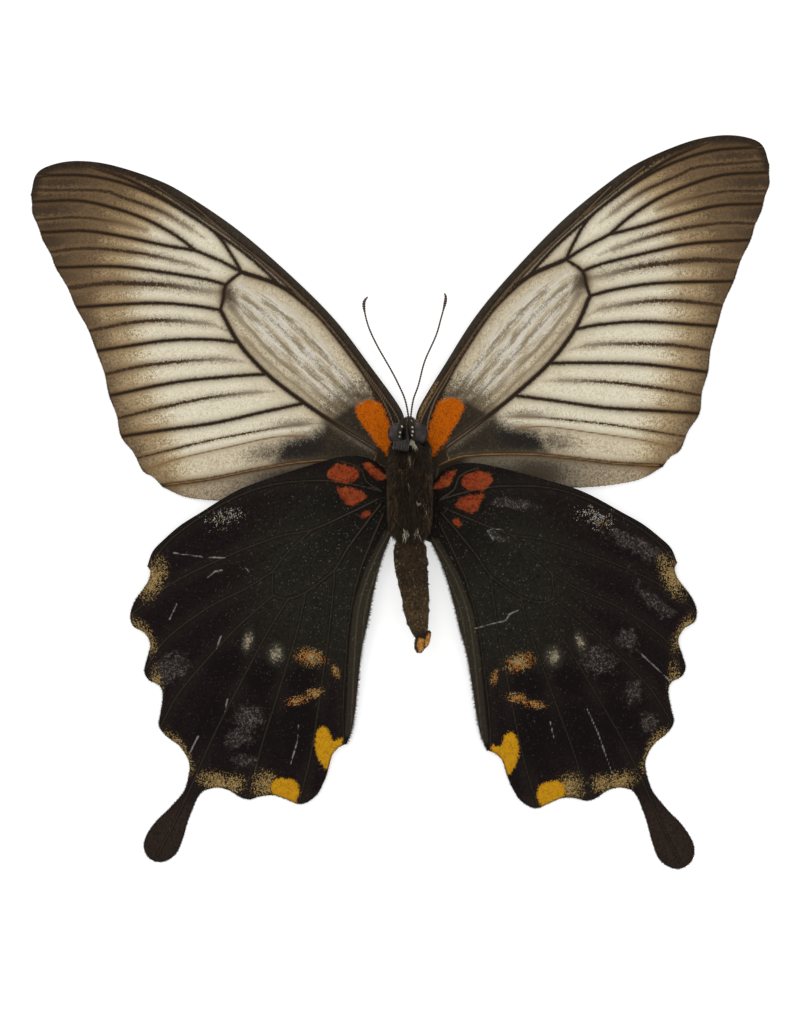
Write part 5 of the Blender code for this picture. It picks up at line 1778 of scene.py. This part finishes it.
def at_wing_roots(places):
    """1 on the flanks, where the wings come out."""
    x, y, z = np.abs(places[:, 0] - BODY_X), places[:, 1], places[:, 2]
    return (x > 2.5) * (y > -5.5) * (y < 8) * (z > 1.2) * (z < 6.2) * 1.0


coat("wing_root_hair", skin, 1500, at_wing_roots, 1.35, 0.075, 0.5, 9, hair_paint, outwards)


def pale_marks(places):
    """1 on the pale marks of the underside."""
    return (pale_at(places) > 0.5) * (places[:, 2] > 4.5) * off_eyes(places)


def inwards(root):
    """Hair that leans towards the middle line in front of the waist."""
    lean = -0.75 * np.sign(root[:, 0] - BODY_X) * (root[:, 1] < -3)
    return np.column_stack([lean, np.full(len(root), -1.0), np.zeros(len(root))])


coat("pale_tufts", skin, 380, pale_marks, 0.9, 0.1, 0.75, 13, hair_paint, inwards, 0.06)
for name, count in (("valve_left", 520), ("valve_right", 340)):
    clasper = bpy.data.objects[name + "_clasper"]
    hair = coat(name + "_hair", clasper, count, lambda p: np.ones(len(p)), 0.5, 0.11, 1.1, 11, gilt_paint,
                stray=0.7)
    keep_number(hair, "core", off_core(vertex_places(hair) + (0, 0.2, 0), *CLASPERS[name]))
    keep_number(hair, "tint", np.repeat(np.random.default_rng(4).random(count), len(TUFT)))

# %% [markdown]
# The wings' outer margins end in a fringe of long scales, which softens the outline and
# is paler in the notches. The same tuft is laid flat along the margin, pointing outwards.

# %% Fringes
fringe = Paint("fringe_scales", Roughness=0.7, Specular_IOR_Level=0.05)
mixed = fringe.noise(0.3, 2.0)
dark_hair = fringe.mix(mixed.rise(0.4, 0.65), tone(34, 26, 21), tone(62, 49, 37))
paler = (fringe.read("pale") + (mixed - 0.5) * 0.8).rise(0.3, 0.7)
fringe_paint = fringe.finish(Base_Color=fringe.mix(paler, dark_hair, tone(128, 106, 70)))


def add_fringe(name, wing, side, runs, length, spacing, seed):
    """Flat tufts along a wing's margin, pointing away from the wing."""
    rng = np.random.default_rng(seed)
    roots, ways = [], []
    for run in runs:
        path = smooth_path(placed(run, wing, side), 0.3)
        path, total = resampled(path, int(np.linalg.norm(np.diff(path, axis=0), axis=1).sum() / spacing))
        step = np.gradient(path, axis=0)
        step /= np.linalg.norm(step, axis=1)[:, None]
        roots.append(path)
        ways.append(np.column_stack([-step[:, 1], step[:, 0]]) * side)
    root, way = np.vstack(roots), np.vstack(ways)
    count = len(root)
    z = height_at(root, wing, side)
    grow = np.column_stack([way + rng.normal(0, 0.3, way.shape), np.zeros(count)])
    grow /= np.linalg.norm(grow, axis=1)[:, None]
    across = np.column_stack([-grow[:, 1], grow[:, 0], np.zeros(count)])
    size = length * (0.6 + 0.8 * rng.random(count))
    start = np.column_stack([root, z]) - 0.08 * grow
    places = (
        start[:, None] + TUFT[None, :, :1] * 0.06 * across[:, None]
        + TUFT[None, :, 1:2] * np.array((0, 0, 0.03))
        + TUFT[None, :, 2:3] * grow[:, None] * size[:, None, None]
    )
    places[..., 2] = np.maximum(places[..., 2], LOWEST)
    low, high = root.min(0), root.max(0)
    where = ((root - low) / (high - low)) * 0.98 + 0.01
    piece = plant(name, places, where, fringe_paint)
    pale = strongest(root, side, GOLD_DUST, 1.1) if wing == "hind" else np.zeros(count)
    keep_number(piece, "pale", np.repeat(pale, len(TUFT)))


FORE_EDGE = (scalloped(FORE_MARGIN, FORE_SCALLOP), FORE_INNER)
HIND_EDGE = (HIND_LOBES, HIND_TAIL, HIND_REAR)
for side, side_name in ((1, "right"), (-1, "left")):
    add_fringe(f"forewing_fringe_{side_name}", "fore", side, FORE_EDGE, 0.2, 0.13, 21 + side)
    add_fringe(f"hindwing_fringe_{side_name}", "hind", side, HIND_EDGE, 0.26, 0.11, 31 + side)
    add_fringe(f"hindwing_inner_hair_{side_name}", "hind", side, (HIND_INNER,), 0.5, 0.1, 41 + side)

# %% [markdown]
# The last cell prints the size of the dressed model's box beside the frame's.

# %% Measure and finish
sizes = {"cad": [list(c) for c in CAD_BOX], "visual": [list(c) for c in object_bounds()]}
print({k: [round((b - a) * 1000, 1) for a, b in zip(*v)] for k, v in sizes.items()})
